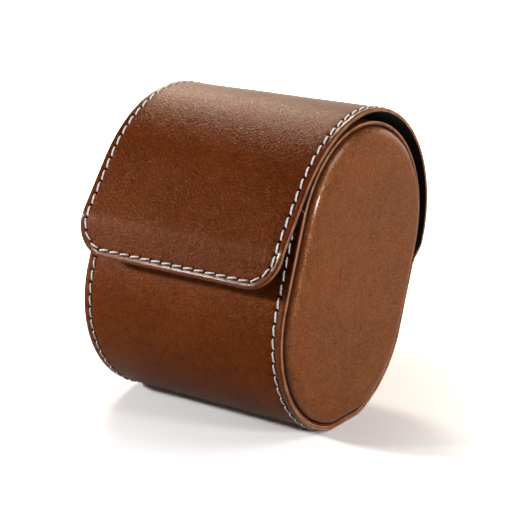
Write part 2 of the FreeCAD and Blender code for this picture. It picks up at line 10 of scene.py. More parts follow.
import bmesh
import bpy
import numpy as np
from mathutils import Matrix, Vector

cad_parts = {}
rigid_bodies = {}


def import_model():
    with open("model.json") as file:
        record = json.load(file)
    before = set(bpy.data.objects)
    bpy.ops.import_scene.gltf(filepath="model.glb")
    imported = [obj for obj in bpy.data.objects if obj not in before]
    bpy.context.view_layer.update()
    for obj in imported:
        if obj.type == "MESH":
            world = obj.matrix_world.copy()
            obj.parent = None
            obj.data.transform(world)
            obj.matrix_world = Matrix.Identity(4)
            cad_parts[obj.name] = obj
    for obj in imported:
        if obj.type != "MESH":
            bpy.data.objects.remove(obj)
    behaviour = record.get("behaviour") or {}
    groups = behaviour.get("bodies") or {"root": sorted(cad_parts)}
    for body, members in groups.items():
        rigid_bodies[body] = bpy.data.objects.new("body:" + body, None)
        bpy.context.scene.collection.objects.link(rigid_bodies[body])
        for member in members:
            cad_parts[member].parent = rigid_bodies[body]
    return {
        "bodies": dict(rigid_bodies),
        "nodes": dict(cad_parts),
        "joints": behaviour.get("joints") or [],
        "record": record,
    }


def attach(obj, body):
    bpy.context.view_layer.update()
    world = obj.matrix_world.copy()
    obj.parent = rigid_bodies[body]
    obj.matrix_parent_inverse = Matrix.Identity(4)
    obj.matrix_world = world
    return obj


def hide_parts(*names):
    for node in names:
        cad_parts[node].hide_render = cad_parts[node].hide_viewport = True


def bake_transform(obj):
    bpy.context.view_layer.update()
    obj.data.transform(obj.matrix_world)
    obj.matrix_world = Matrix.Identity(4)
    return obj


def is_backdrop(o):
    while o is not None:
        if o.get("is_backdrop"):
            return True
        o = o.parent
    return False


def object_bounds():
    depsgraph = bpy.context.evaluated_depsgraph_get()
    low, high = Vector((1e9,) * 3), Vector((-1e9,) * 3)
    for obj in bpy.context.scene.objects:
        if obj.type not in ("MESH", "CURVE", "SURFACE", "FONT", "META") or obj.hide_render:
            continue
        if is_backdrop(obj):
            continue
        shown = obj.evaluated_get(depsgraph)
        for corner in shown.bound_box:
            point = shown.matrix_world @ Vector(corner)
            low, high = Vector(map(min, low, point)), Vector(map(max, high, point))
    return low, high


log = logging.getLogger("watch_case")

MM = 0.001
# Name of each point's share of painted shade: darker in needle holes and at the foot of the end pads.
HOLE_SHADE = "hole"
HIDE = "hide"
WORN = "worn"
EDGE_STEPS = 5
CROWD = (-0.75, -0.5, -0.33, -0.17, 0.0, 0.17, 0.33, 0.5, 0.75)
CLOSEST = 0.08
Colour = tuple[float, float, float]
Value = Union["Signal", float, int, Colour, Vector]
Relief = tuple[np.ndarray, np.ndarray]
Profile = tuple[tuple[float, float], ...]


class Side(Enum):
    """The two ends of the case, as seen from the front."""

    LEFT = -1
    RIGHT = 1

    @property
    def word(self) -> str:
        """The word that the names of pieces at this end start with."""
        return self.name.lower()


def screen_colour(red: int, green: int, blue: int) -> Colour:
    """Turn a colour as seen on a screen, 0 to 255, into a linear one."""
    shares = (channel / 255 for channel in (red, green, blue))
    return tuple(s / 12.92 if s <= 0.04045 else ((s + 0.055) / 1.055) ** 2.4 for s in shares)


def grey(level: float) -> Colour:
    """A grey of a linear level."""
    return level, level, level


# Shader maths


class Signal:
    """A socket of a shader, so that plain expressions add the nodes for them."""

    def __init__(self, tree: "ShaderTree", socket: bpy.types.NodeSocket) -> None:
        """Hold a socket and the tree it belongs to."""
        self.tree = tree
        self.socket = socket

    def _maths(self, operation: str, first: Value, second: Value) -> "Signal":
        """Add one Math node for two values."""
        return self.tree.node("ShaderNodeMath", {"operation": operation}, {0: first, 1: second})

    def __add__(self, other: Value) -> "Signal":
        """Sum."""
        return self._maths("ADD", self, other)

    __radd__ = __add__

    def __sub__(self, other: Value) -> "Signal":
        """Difference."""
        return self._maths("SUBTRACT", self, other)

    def __rsub__(self, other: Value) -> "Signal":
        """Difference from a number."""
        return self._maths("SUBTRACT", other, self)

    def __mul__(self, other: Value) -> "Signal":
        """Product."""
        return self._maths("MULTIPLY", self, other)

    __rmul__ = __mul__

    def __abs__(self) -> "Signal":
        """Size without its sign."""
        return self._maths("ABSOLUTE", self, 0.0)

    def ramp(self, low: float, high: float) -> "Signal":
        """Rise smoothly from 0 at the low value to 1 at the high one."""
        settings = {"interpolation_type": "SMOOTHSTEP"}
        return self.tree.node("ShaderNodeMapRange", settings, {0: self, 1: low, 2: high})


class ShaderTree:
    """The nodes of a material or of the world."""

    def __init__(self, owner: bpy.types.Material | bpy.types.World, place: str = "Object") -> None:
        """Start with no nodes but the one that says where a point is.

        Args:
            owner: What the nodes belong to.
            place: The kind of place that textures read.
        """
        self.owner = owner
        owner.use_nodes = True
        self.nodes = owner.node_tree.nodes
        self.links = owner.node_tree.links
        self.nodes.clear()
        self.place = self.node("ShaderNodeTexCoord", output=place)

    def node(
        self,
        kind: str,
        settings: dict[str, Any] | None = None,
        inputs: dict[int | str, Value] | None = None,
        output: int | str = 0,
    ) -> Signal:
        """Add one node.

        Args:
            kind: The node's type.
            settings: The node's own settings, set before its sockets.
            inputs: Values or signals for its sockets, by name or number.
            output: The socket to hand back.

        Returns:
            The chosen output, ready for more maths.
        """
        made = self.nodes.new(kind)
        for name, value in (settings or {}).items():
            setattr(made, name, value)
        for key, value in (inputs or {}).items():
            socket = made.inputs[key]
            if isinstance(value, Signal):
                self.links.new(value.socket, socket)
            elif isinstance(value, tuple) and len(socket.default_value) == 4:
                socket.default_value = (*value, 1.0)
            else:
                socket.default_value = value
        return Signal(self, made.outputs[output] if len(made.outputs) else None)

    def mix(self, factor: Value, first: Value, second: Value) -> Signal:
        """Mix two colours."""
        return self.node("ShaderNodeMix", {"data_type": "RGBA"}, {0: factor, 6: first, 7: second}, 2)

    def noise(
        self, size: float, detail: float = 2.0, rough: float = 0.5, place: Signal | None = None
    ) -> Signal:
        """Soft noise between 0 and 1.

        Args:
            size: Size of its patches in millimetres.
            detail: Octaves of finer noise.
            rough: Strength of the finer octaves.
            place: Where to read it, the object's own place if left out.

        Returns:
            The noise's value.
        """
        sockets = {"Vector": place or self.place, "Scale": 1 / (size * MM)}
        sockets |= {"Detail": detail, "Roughness": rough}
        return self.node("ShaderNodeTexNoise", None, sockets)

    def warped(self, size: float, reach: float, place: Signal | None = None) -> Signal:
        """A place pushed about at random.

        Args:
            size: Size of the pushes in millimetres.
            reach: How far they push, in millimetres.
            place: The place, the object's own if left out.

        Returns:
            The pushed place.
        """
        place = place or self.place
        sockets = {"Vector": place, "Scale": 1 / (size * MM), "Detail": 2.0}
        push = self.node("ShaderNodeTexNoise", None, sockets, "Color")
        centred = self.node("ShaderNodeVectorMath", {"operation": "SUBTRACT"}, {0: push, 1: (0.5, 0.5, 0.5)})
        scaled = {0: centred, "Scale": 2 * reach * MM}
        scaled_push = self.node("ShaderNodeVectorMath", {"operation": "SCALE"}, scaled)
        return self.node("ShaderNodeVectorMath", {"operation": "ADD"}, {0: place, 1: scaled_push})

    def share(self, name: str) -> Signal:
        """The share that each point of a piece holds under a name."""
        return self.node("ShaderNodeAttribute", {"attribute_name": name}, output="Fac")

    def stretched(self, place: Signal, along: tuple[float, float, float]) -> Signal:
        """A place with each axis multiplied."""
        return self.node("ShaderNodeVectorMath", {"operation": "MULTIPLY"}, {0: place, 1: along})

    def cells(self, size: float, place: Signal) -> Signal:
        """Round cells like the pores of foam.

        Args:
            size: Size of a cell in millimetres.
            place: Where to read them.

        Returns:
            The distance from the middle of the cell, in cells.
        """
        return self.node("ShaderNodeTexVoronoi", None, {"Vector": place, "Scale": 1 / (size * MM)})

    def veins(self, size: float, width: float, place: Signal, detail: float = 1.0) -> Signal:
        """Thin winding lines, where a noise crosses its middle.

        Args:
            size: Size of the noise's patches in millimetres.
            width: Width of the lines as a share of the noise's range.
            place: Where to read the noise.
            detail: Octaves of finer noise.

        Returns:
            1 along the lines and 0 between them.
        """
        return 1 - abs(self.noise(size, detail, 0.5, place) - 0.5).ramp(0.0, width)

    def bump(self, height: Signal, depth: float, strength: float = 1.0) -> Signal:
        """Normals for a height between 0 and 1.

        Args:
            height: The height.
            depth: What a height of 1 stands for, in millimetres.
            strength: Share of the effect that is used.

        Returns:
            The normal.
        """
        sockets = {"Height": height, "Distance": depth * MM, "Strength": strength}
        return self.node("ShaderNodeBump", None, sockets)

    def surface(self, sockets: dict[str, Value]) -> bpy.types.Material:
        """Finish the material with one principled surface.

        Args:
            sockets: Values or signals for the surface's sockets, by name.

        Returns:
            The material.
        """
        shader = self.node("ShaderNodeBsdfPrincipled", None, sockets)
        self.node("ShaderNodeOutputMaterial", None, {"Surface": shader})
        return self.owner


@dataclass(frozen=True)
class LeatherFinish:
    """Waxed full-grain leather: wrinkled, creased and mottled, with painted shade in its needle holes. Sizes
    are in millimetres.
    """

    name: str
    light: Colour = screen_colour(116, 50, 6)
    dark: Colour = screen_colour(96, 36, 2)
    crease_tint: Colour = screen_colour(152, 88, 44)
    hole_shade_colour: Colour = screen_colour(10, 4, 1)
    sheen_tint: Colour = (1.0, 0.5, 0.26)
    grain: float = 1.1
    grain_depth: float = 0.08
    grain_share: float = 0.32
    crease: float = 12.0
    crease_share: float = 0.1
    rough: float = 0.29
    shine: float = 0.12
    worn_rough: float = 0.1
    wax: float = 0.5
    wax_rough: float = 0.15
    mottle: float = 26.0

    def material(self) -> bpy.types.Material:
        """Build the leather.

        Returns:
            The material.
        """
        tree = ShaderTree(bpy.data.materials.new(self.name))
        tree.place = tree.node("ShaderNodeAttribute", {"attribute_name": HIDE}, output="Vector")
        slanted = {"Vector": tree.place, "Angle": math.radians(38.0)}
        slanted = tree.node("ShaderNodeVectorRotate", {"rotation_type": "Z_AXIS"}, slanted)
        drawn = tree.stretched(slanted, (1.0, 0.72, 1.0))
        near = tree.warped(self.grain * 2.5, self.grain * 0.6, drawn)
        wide = tree.warped(self.crease * 1.5, self.crease * 0.35, drawn)
        wrinkles = tree.veins(self.grain, 0.1, near)
        finer = tree.veins(self.grain * 0.5, 0.14, near)
        creases = tree.veins(self.crease, 0.014, wide) * tree.noise(self.mottle * 0.5, 1.0).ramp(0.45, 0.6)
        cloudy = tree.noise(self.grain * 2.6, 2.0, 0.6)
        tone = (tree.noise(self.mottle, 3.0, 0.55) * 0.5 + cloudy * 0.5).ramp(0.36, 0.62)
        lines = wrinkles * 0.6 + finer * 0.4
        colour = tree.mix(tone, self.dark, self.light)
        colour = tree.mix(lines * self.grain_share, colour, self.crease_tint)
        colour = tree.mix(creases * self.crease_share, colour, self.crease_tint)
        # Painted shade: the leather is darker in needle holes and at the foot of the end pads.
        hole_shade = tree.share(HOLE_SHADE)
        colour = tree.mix(hole_shade, colour, self.hole_shade_colour)
        worn = tree.share(WORN)
        height = 1 - (lines + creases * 0.5) * (1 - worn * 0.7)
        rough = self.rough + (cloudy - 0.5) * 0.1 + lines * 0.06
        return tree.surface({
            "Base Color": colour,
            "Roughness": rough + hole_shade * 0.4 - worn * self.worn_rough,
            "Normal": tree.bump(height, self.grain_depth),
            "Specular IOR Level": self.shine,
            "Specular Tint": self.sheen_tint,
            "Coat Weight": worn * self.wax,
            "Coat Roughness": self.wax_rough,
        })


@dataclass(frozen=True)
class CutEdgeFinish:
    """The burnished cut edge of leather: fibres in tan, rubbed darker in places."""

    name: str = "cut_edge"
    light: Colour = screen_colour(192, 132, 90)
    dark: Colour = screen_colour(146, 88, 50)
    rough: float = 0.36

    def material(self) -> bpy.types.Material:
        """Build the edge.

        Returns:
            The material.
        """
        tree = ShaderTree(bpy.data.materials.new(self.name))
        fibres = tree.noise(0.35, 3.0, 0.7)
        rubbed = tree.noise(5.0, 2.0)
        tone = (fibres * 0.35 + rubbed * 0.65).ramp(0.35, 0.62)
        return tree.surface({
            "Base Color": tree.mix(tone, self.dark, self.light),
            "Roughness": self.rough + (fibres - 0.5) * 0.2,
            "Normal": tree.bump(fibres, 0.03),
        })


@dataclass(frozen=True)
class VelvetFinish:
    """Short velvet pile that lies in soft patches. Sizes are in millimetres."""

    name: str
    light: Colour
    dark: Colour
    pile: float = 0.3
    patch: float = 9.0

    def material(self) -> bpy.types.Material:
        """Build the velvet.

        Returns:
            The material.
        """
        tree = ShaderTree(bpy.data.materials.new(self.name))
        pile = tree.noise(self.pile, 2.0, 0.6)
        lie = tree.noise(self.patch, 3.0, 0.6, tree.warped(self.patch * 2, self.patch * 0.5))
        tone = (lie * 0.75 + pile * 0.25).ramp(0.36, 0.64)
        return tree.surface({
            "Base Color": tree.mix(tone, self.dark, self.light),
            "Roughness": 0.86 + (pile - 0.5) * 0.15,
            "Normal": tree.bump(pile, 0.12, 0.8),
            "Sheen Weight": 0.12,
            "Sheen Roughness": 0.45,
            "Specular IOR Level": 0.2,
        })


@dataclass(frozen=True)
class ThreadFinish:
    """Waxed white thread with a little shade between its fibres."""

    name: str = "waxed_thread"
    light: Colour = screen_colour(254, 253, 250)
    dark: Colour = screen_colour(232, 226, 218)

    def material(self) -> bpy.types.Material:
        """Build the thread.

        Returns:
            The material.
        """
        tree = ShaderTree(bpy.data.materials.new(self.name))
        fibres = tree.noise(0.16, 2.0, 0.6)
        handled = tree.noise(7.0, 2.0)
        tone = (fibres * 0.5 + handled * 0.5).ramp(0.3, 0.52)
        return tree.surface({
            "Base Color": tree.mix(tone, self.dark, self.light),
            "Roughness": 0.5 + (fibres - 0.5) * 0.2,
            "Normal": tree.bump(fibres, 0.04),
        })


@dataclass(frozen=True)
class MetalFinish:
    """Plated metal with fine turning marks, rubbed a little at random."""

    name: str
    light: Colour
    dark: Colour
    rough: float
    metallic: float = 1.0

    def material(self) -> bpy.types.Material:
        """Build the metal.

        Returns:
            The material.
        """
        tree = ShaderTree(bpy.data.materials.new(self.name))
        marks = tree.noise(0.12, 2.0, 0.5, tree.stretched(tree.place, (1.0, 6.0, 1.0)))
        rubbed = tree.noise(3.2, 2.0, 0.4)
        return tree.surface({
            "Base Color": tree.mix(rubbed.ramp(0.2, 0.8), self.dark, self.light),
            "Metallic": self.metallic,
            "Roughness": self.rough + (rubbed - 0.5) * 0.12,
            "Normal": tree.bump(marks, 0.002),
        })


@dataclass(frozen=True)
class SoftBoardFinish:
    """Pressed board or open foam: specks and pores. Sizes are in millimetres."""

    name: str
    light: Colour
    dark: Colour
    speck: float
    pore_depth: float

    def material(self) -> bpy.types.Material:
        """Build the board or foam.

        Returns:
            The material.
        """
        tree = ShaderTree(bpy.data.materials.new(self.name))
        specks = tree.noise(self.speck, 3.0, 0.7)
        pores = tree.cells(self.speck, tree.warped(self.speck * 2, self.speck * 0.4))
        tone = (specks * 0.6 + pores * 0.4).ramp(0.3, 0.7)
        return tree.surface({
            "Base Color": tree.mix(tone, self.dark, self.light),
            "Roughness": 0.88 + (specks - 0.5) * 0.1,
            "Normal": tree.bump(pores, self.pore_depth),
        })


class Finishes:
    """Every finish of the case, built once."""

    def __init__(self) -> None:
        """Build the materials."""
        self.leather = LeatherFinish("outer_leather").material()
        # Painted shade: the flap's leather is a darker copy of the body's leather.
        self.shaded_flap_leather = LeatherFinish(
            "shaded_flap_leather",
            light=screen_colour(107, 43, 3),
            dark=screen_colour(88, 31, 1),
            crease_tint=screen_colour(142, 80, 38),
        ).material()
        # Painted light: the pads' leather is a lighter copy of the body's leather.
        self.pad_leather = LeatherFinish(
            "panel_leather",
            light=screen_colour(130, 61, 14),
            dark=screen_colour(104, 43, 6),
            crease_tint=screen_colour(164, 102, 56),
            grain_share=0.65,
            grain_depth=0.1,
            crease_share=0.14,
            rough=0.36,
            shine=0.5,
            worn_rough=0.1,
            mottle=16.0,
        ).material()
        self.rim_leather = LeatherFinish(
            "rim_leather",
            light=screen_colour(120, 54, 14),
            dark=screen_colour(86, 32, 4),
            grain=0.8,
            grain_depth=0.04,
            crease_share=0.1,
        ).material()
        self.edge = CutEdgeFinish().material()
        # A darker copy of the cut edge, for the inner faces of the rim.
        self.dark_edge = CutEdgeFinish(
            "darker_edge", screen_colour(96, 42, 14), screen_colour(56, 20, 4)
        ).material()
        self.velvet = VelvetFinish("velvet", screen_colour(24, 22, 22), screen_colour(9, 8, 8)).material()
        self.pillow_velvet = VelvetFinish(
            "pillow_velvet", screen_colour(50, 46, 44), screen_colour(25, 23, 22)
        ).material()
        self.thread = ThreadFinish().material()
        self.steel = MetalFinish(
            "snap_steel", screen_colour(206, 202, 196), screen_colour(184, 180, 174), 0.26
        ).material()
        self.magnet = MetalFinish(
            "magnet", screen_colour(84, 84, 88), screen_colour(48, 48, 52), 0.6, 0.4
        ).material()
        self.board = SoftBoardFinish(
            "board", screen_colour(190, 166, 134), screen_colour(146, 120, 90), 0.6, 0.03
        ).material()
        self.foam = SoftBoardFinish(
            "foam", screen_colour(226, 220, 200), screen_colour(188, 178, 152), 0.8, 0.25
        ).material()


# Section geometry, in millimetres


def polar(centre: Sequence[float], radius: float, angle: float) -> np.ndarray:
    """Point at an angle in degrees on a circle of the section."""
    turn = math.radians(angle)
    return np.array([centre[0] + radius * math.cos(turn), centre[1] + radius * math.sin(turn)])


def arc(centre: Sequence[float], radius: float, start: float, end: float, count: int = 90) -> np.ndarray:
    """Points along a circle, from one angle to another, in degrees."""
    return np.array([polar(centre, radius, angle) for angle in np.linspace(start, end, count)])


class Track:
    """A line of the section that can be asked for the place and the outward way along it."""

    STEP = 0.05

    def __init__(self, points: np.ndarray, facing: int, easing: float = 0.6) -> None:
        """Sample the line evenly and ease its corners.

        Args:
            points: The line's points, in millimetres.
            facing: 1 where outwards is to the left of the line, or -1.
            easing: How far a corner is eased, in millimetres.
        """
        lengths = np.concatenate([[0], np.cumsum(np.linalg.norm(np.diff(points, axis=0), axis=1))])
        even = np.linspace(0, lengths[-1], int(lengths[-1] / self.STEP) + 1)
        line = np.stack([np.interp(even, lengths, points[:, axis]) for axis in (0, 1)], axis=1)
        self.points = self._eased(line, easing)
        steps = np.linalg.norm(np.diff(self.points, axis=0), axis=1)
        self.lengths = np.concatenate([[0], np.cumsum(steps)])
        self.facing = facing
        heading = np.gradient(self.points, axis=0)
        heading /= np.linalg.norm(heading, axis=1)[:, None]
        self.headings = heading

    def _eased(self, line: np.ndarray, easing: float) -> np.ndarray:
        """The line with its corners eased and its ends kept.

        Args:
            line: Points at even steps.
            easing: How far a corner is eased, in millimetres.

        Returns:
            As many points.
        """
        reach = int(3 * easing / self.STEP)
        before = 2 * line[0] - line[1 : reach + 1][::-1]
        after = 2 * line[-1] - line[-reach - 1 : -1][::-1]
        longer = np.concatenate([before, line, after])
        offsets = np.arange(-reach, reach + 1) * self.STEP
        weights = np.exp(-((offsets / easing) ** 2) / 2)
        weights /= weights.sum()
        return np.stack([np.convolve(longer[:, axis], weights, "valid") for axis in (0, 1)], axis=1)

    @property
    def length(self) -> float:
        """Length of the line."""
        return float(self.lengths[-1])

    def place(self, along: np.ndarray) -> np.ndarray:
        """Points at distances along the line."""
        return np.stack([np.interp(along, self.lengths, self.points[:, axis]) for axis in (0, 1)], axis=-1)

    def heading(self, along: np.ndarray) -> np.ndarray:
        """Directions along the line."""
        found = [np.interp(along, self.lengths, self.headings[:, axis]) for axis in (0, 1)]
        return np.stack(found, axis=-1)

    def outward(self, along: np.ndarray) -> np.ndarray:
        """Directions out of the leather."""
        heading = self.heading(along)
        return np.stack([-heading[..., 1], heading[..., 0]], axis=-1) * self.facing


@dataclass(frozen=True)
class Section:
    """The oval cross-section, drawn upright about its centre, and how the case leans back."""

    half_depth: float = 37.3
    straight_rise: float = 14.2
    lean: float = 20.0
    flat_drop: float = 0.85
    half_length: float = 40.0

    def to_row(self, x: np.ndarray, y: np.ndarray, z: np.ndarray) -> np.ndarray:
        """Turn places in the section into places in the case's own frame.

        Args:
            x: Places along the case, in millimetres.
            y: Places in the section, front to back.
            z: Places in the section, upwards.

        Returns:
            Points in metres.
        """
        turn = math.radians(self.lean)
        cos, sin = math.cos(turn), math.sin(turn)
        rise = self.straight_rise * cos + self.half_depth - self.flat_drop
        across = y * cos + z * sin + self.straight_rise * sin
        up = z * cos - y * sin + rise
        return np.stack(np.broadcast_arrays(x, across, up), axis=-1) * MM

    def flat_angle(self, radius: float) -> float:
        """Half the angle that the resting flat takes out of a bottom arc."""
        return math.degrees(math.acos(max(-1.0, 1 - self.flat_drop / radius)))

    def oval(self, inset: float, per_arc: int = 48) -> np.ndarray:
        """A ring of points round the oval, the same number for any inset.

        Args:
            inset: Distance in from the outside of the body.
            per_arc: Points on a quarter of the round part.

        Returns:
            The ring, from the back of the top arc, over the top and round.
        """
        radius = self.half_depth - inset
        top, bottom = (0, self.straight_rise), (0, -self.straight_rise)
        down = 270 + self.lean
        half = self.flat_angle(radius)
        straight = np.linspace(0, 1, per_arc // 2)[1:-1, None]
        pieces = [arc(top, radius, 0, 180, per_arc * 2)]
        turns = ((180, down - half), (down + half, 360))
        lower = [arc(bottom, radius, *turn, per_arc) for turn in turns]
        pieces.append(pieces[0][-1] * (1 - straight) + lower[0][0] * straight)
        flat = lower[0][-1] * (1 - straight) + lower[1][0] * straight
        pieces += [lower[0], flat, lower[1], lower[1][-1] * (1 - straight) + pieces[0][0] * straight]
        return np.concatenate(pieces)

    def body_track(self, lip: float, back: float) -> Track:
        """The U of the body, from the front lip under the case to the back.

        Args:
            lip: Height of the front lip in the section.
            back: Height of the back edge in the section.

        Returns:
            The outside of the U.
        """
        down = 270 + self.lean
        half = self.flat_angle(self.half_depth)
        bottom = (0, -self.straight_rise)
        front = np.array([[-self.half_depth, lip]])
        rear = np.array([[self.half_depth, back]])
        turns = ((180, down - half), (down + half, 360))
        arcs = [arc(bottom, self.half_depth, *turn) for turn in turns]
        return Track(np.concatenate([front, *arcs, rear]), facing=-1)


# Meshes


@dataclass
class MeshParts:
    """Points and faces gathered for one piece. Each face has the number of its finish."""

    points: list[np.ndarray] = field(default_factory=list)
    faces: list[tuple[int, ...]] = field(default_factory=list)
    finish: list[int] = field(default_factory=list)
    holes: list[np.ndarray] = field(default_factory=list)
    hide: list[np.ndarray] = field(default_factory=list)
    worn: list[np.ndarray] = field(default_factory=list)
    count: int = 0

    def add_points(
        self,
        points: np.ndarray,
        holes: np.ndarray | float = 0.0,
        hide: np.ndarray | None = None,
        worn: np.ndarray | float = 0.0,
    ) -> np.ndarray:
        """Add points.

        Args:
            points: Places in metres, in any layout.
            holes: How much painted shade each point carries, 0 to 1, in needle holes and at the foot of the
                end pads.
            hide: Where each point was in the flat hide, the point's own place if left out.
            worn: How much each point is rubbed smooth, 0 to 1.

        Returns:
            The points' numbers, in the same layout.
        """
        flat = points.reshape(-1, 3)
        self.holes.append(np.broadcast_to(holes, points.shape[:-1]).ravel())
        self.hide.append(flat if hide is None else hide.reshape(-1, 3))
        self.worn.append(np.broadcast_to(worn, points.shape[:-1]).ravel())
        numbers = np.arange(self.count, self.count + len(flat)).reshape(points.shape[:-1])
        self.points.append(flat)
        self.count += len(flat)
        return numbers

    def add_grid(self, numbers: np.ndarray, finish: int = 0, round_rows: bool = False) -> None:
        """Add the faces of a grid of points.

        Args:
            numbers: Point numbers in rows and columns.
            finish: Number of the finish.
            round_rows: Whether each row closes on itself.
        """
        if round_rows:
            numbers = np.concatenate([numbers, numbers[:, :1]], axis=1)
        corners = (numbers[:-1, :-1], numbers[:-1, 1:], numbers[1:, 1:], numbers[1:, :-1])
        quads = np.stack([c.ravel() for c in corners], axis=1)
        self.faces += [tuple(quad) for quad in quads.tolist()]
        self.finish += [finish] * len(quads)

    def add_face(self, numbers: Sequence[int], finish: int = 0) -> None:
        """Add one face."""
        self.faces.append(tuple(int(n) for n in numbers))
        self.finish.append(finish)

    def add_tube(
        self, rings: np.ndarray, holes: np.ndarray | float = 0.0, worn: np.ndarray | float = 0.0
    ) -> None:
        """Add a closed tube.

        Args:
            rings: Rings of points in metres, one row each.
            holes: How much painted shade each point carries, 0 to 1, in needle holes and at the foot of the
                end pads.
            worn: How much each point is rubbed smooth, 0 to 1.
        """
        numbers = self.add_points(rings, holes, worn=worn)
        self.add_grid(numbers, round_rows=True)
        self.add_face(numbers[0][::-1])
        self.add_face(numbers[-1])

    def build(self, name: str, finishes: Sequence[bpy.types.Material]) -> bpy.types.Object:
        """Make the piece.

        Args:
            name: The piece's name.
            finishes: Its materials, in the order of the faces' numbers.

        Returns:
            The piece, with its normals outwards.
        """
        mesh = bpy.data.meshes.new(name)
        mesh.from_pydata(np.concatenate(self.points).tolist(), [], self.faces)
        for finish in finishes:
            mesh.materials.append(finish)
        mesh.polygons.foreach_set("material_index", self.finish)
        mesh.polygons.foreach_set("use_smooth", [True] * len(self.faces))
        for name_of_share, shares in ((HOLE_SHADE, self.holes), (WORN, self.worn)):
            share = mesh.attributes.new(name_of_share, "FLOAT", "POINT")
            share.data.foreach_set("value", np.concatenate(shares))
        hide = mesh.attributes.new(HIDE, "FLOAT_VECTOR", "POINT")
        hide.data.foreach_set("vector", np.concatenate(self.hide).ravel())
        editable = bmesh.new()
        editable.from_mesh(mesh)
        bmesh.ops.recalc_face_normals(editable, faces=editable.faces)
        editable.to_mesh(mesh)
        editable.free()
        piece = bpy.data.objects.new(name, mesh)
        bpy.context.scene.collection.objects.link(piece)
        log.info("%s: %d points, %d faces", name, len(mesh.vertices), len(mesh.polygons))
        return piece


def seat(piece: bpy.types.Object, body: str, slot: str, *nodes: str) -> bpy.types.Object:
    """Ride a piece on its body and hide the nodes that it replaces.

    Args:
        piece: The piece.
        body: The body that carries it.
        slot: Not used.
        nodes: Names of the nodes that it replaces.

    Returns:
        The piece.
    """
    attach(piece, body)
    if nodes:
        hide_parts(*nodes)
    return piece


def dress(frame: dict[str, Any], finish: bpy.types.Material, *nodes: str) -> None:
    """Give carried-over nodes their finish."""
    for node in nodes:
        mesh = frame["nodes"][node].data
        mesh.materials.clear()
        mesh.materials.append(finish)
        log.info("%s: %s", node, finish.name)


def clustered(stops: np.ndarray, start: float, end: float, coarse: float) -> np.ndarray:
    """Places from start to end, close together round each stop and further apart elsewhere.

    Args:
        stops: Where to crowd.
        start: The first place.
        end: The last place.
        coarse: The largest step.

    Returns:
        The places, in order.
    """
    fine = np.array(CROWD)
    near = np.concatenate([stop + fine for stop in stops]) if len(stops) else np.array([])
    near = near[(near > start + CLOSEST) & (near < end - CLOSEST)]
    marks = np.unique(np.concatenate([[start], near, [end]]).round(4))
    places = [marks[0]]
    for mark in marks[1:]:
        gap = mark - places[-1]
        if gap < CLOSEST and mark < end:
            continue
        between = max(1, math.ceil(gap / coarse))
        places += list(places[-1] + gap * np.arange(1, between + 1) / between)
    return np.array(places)


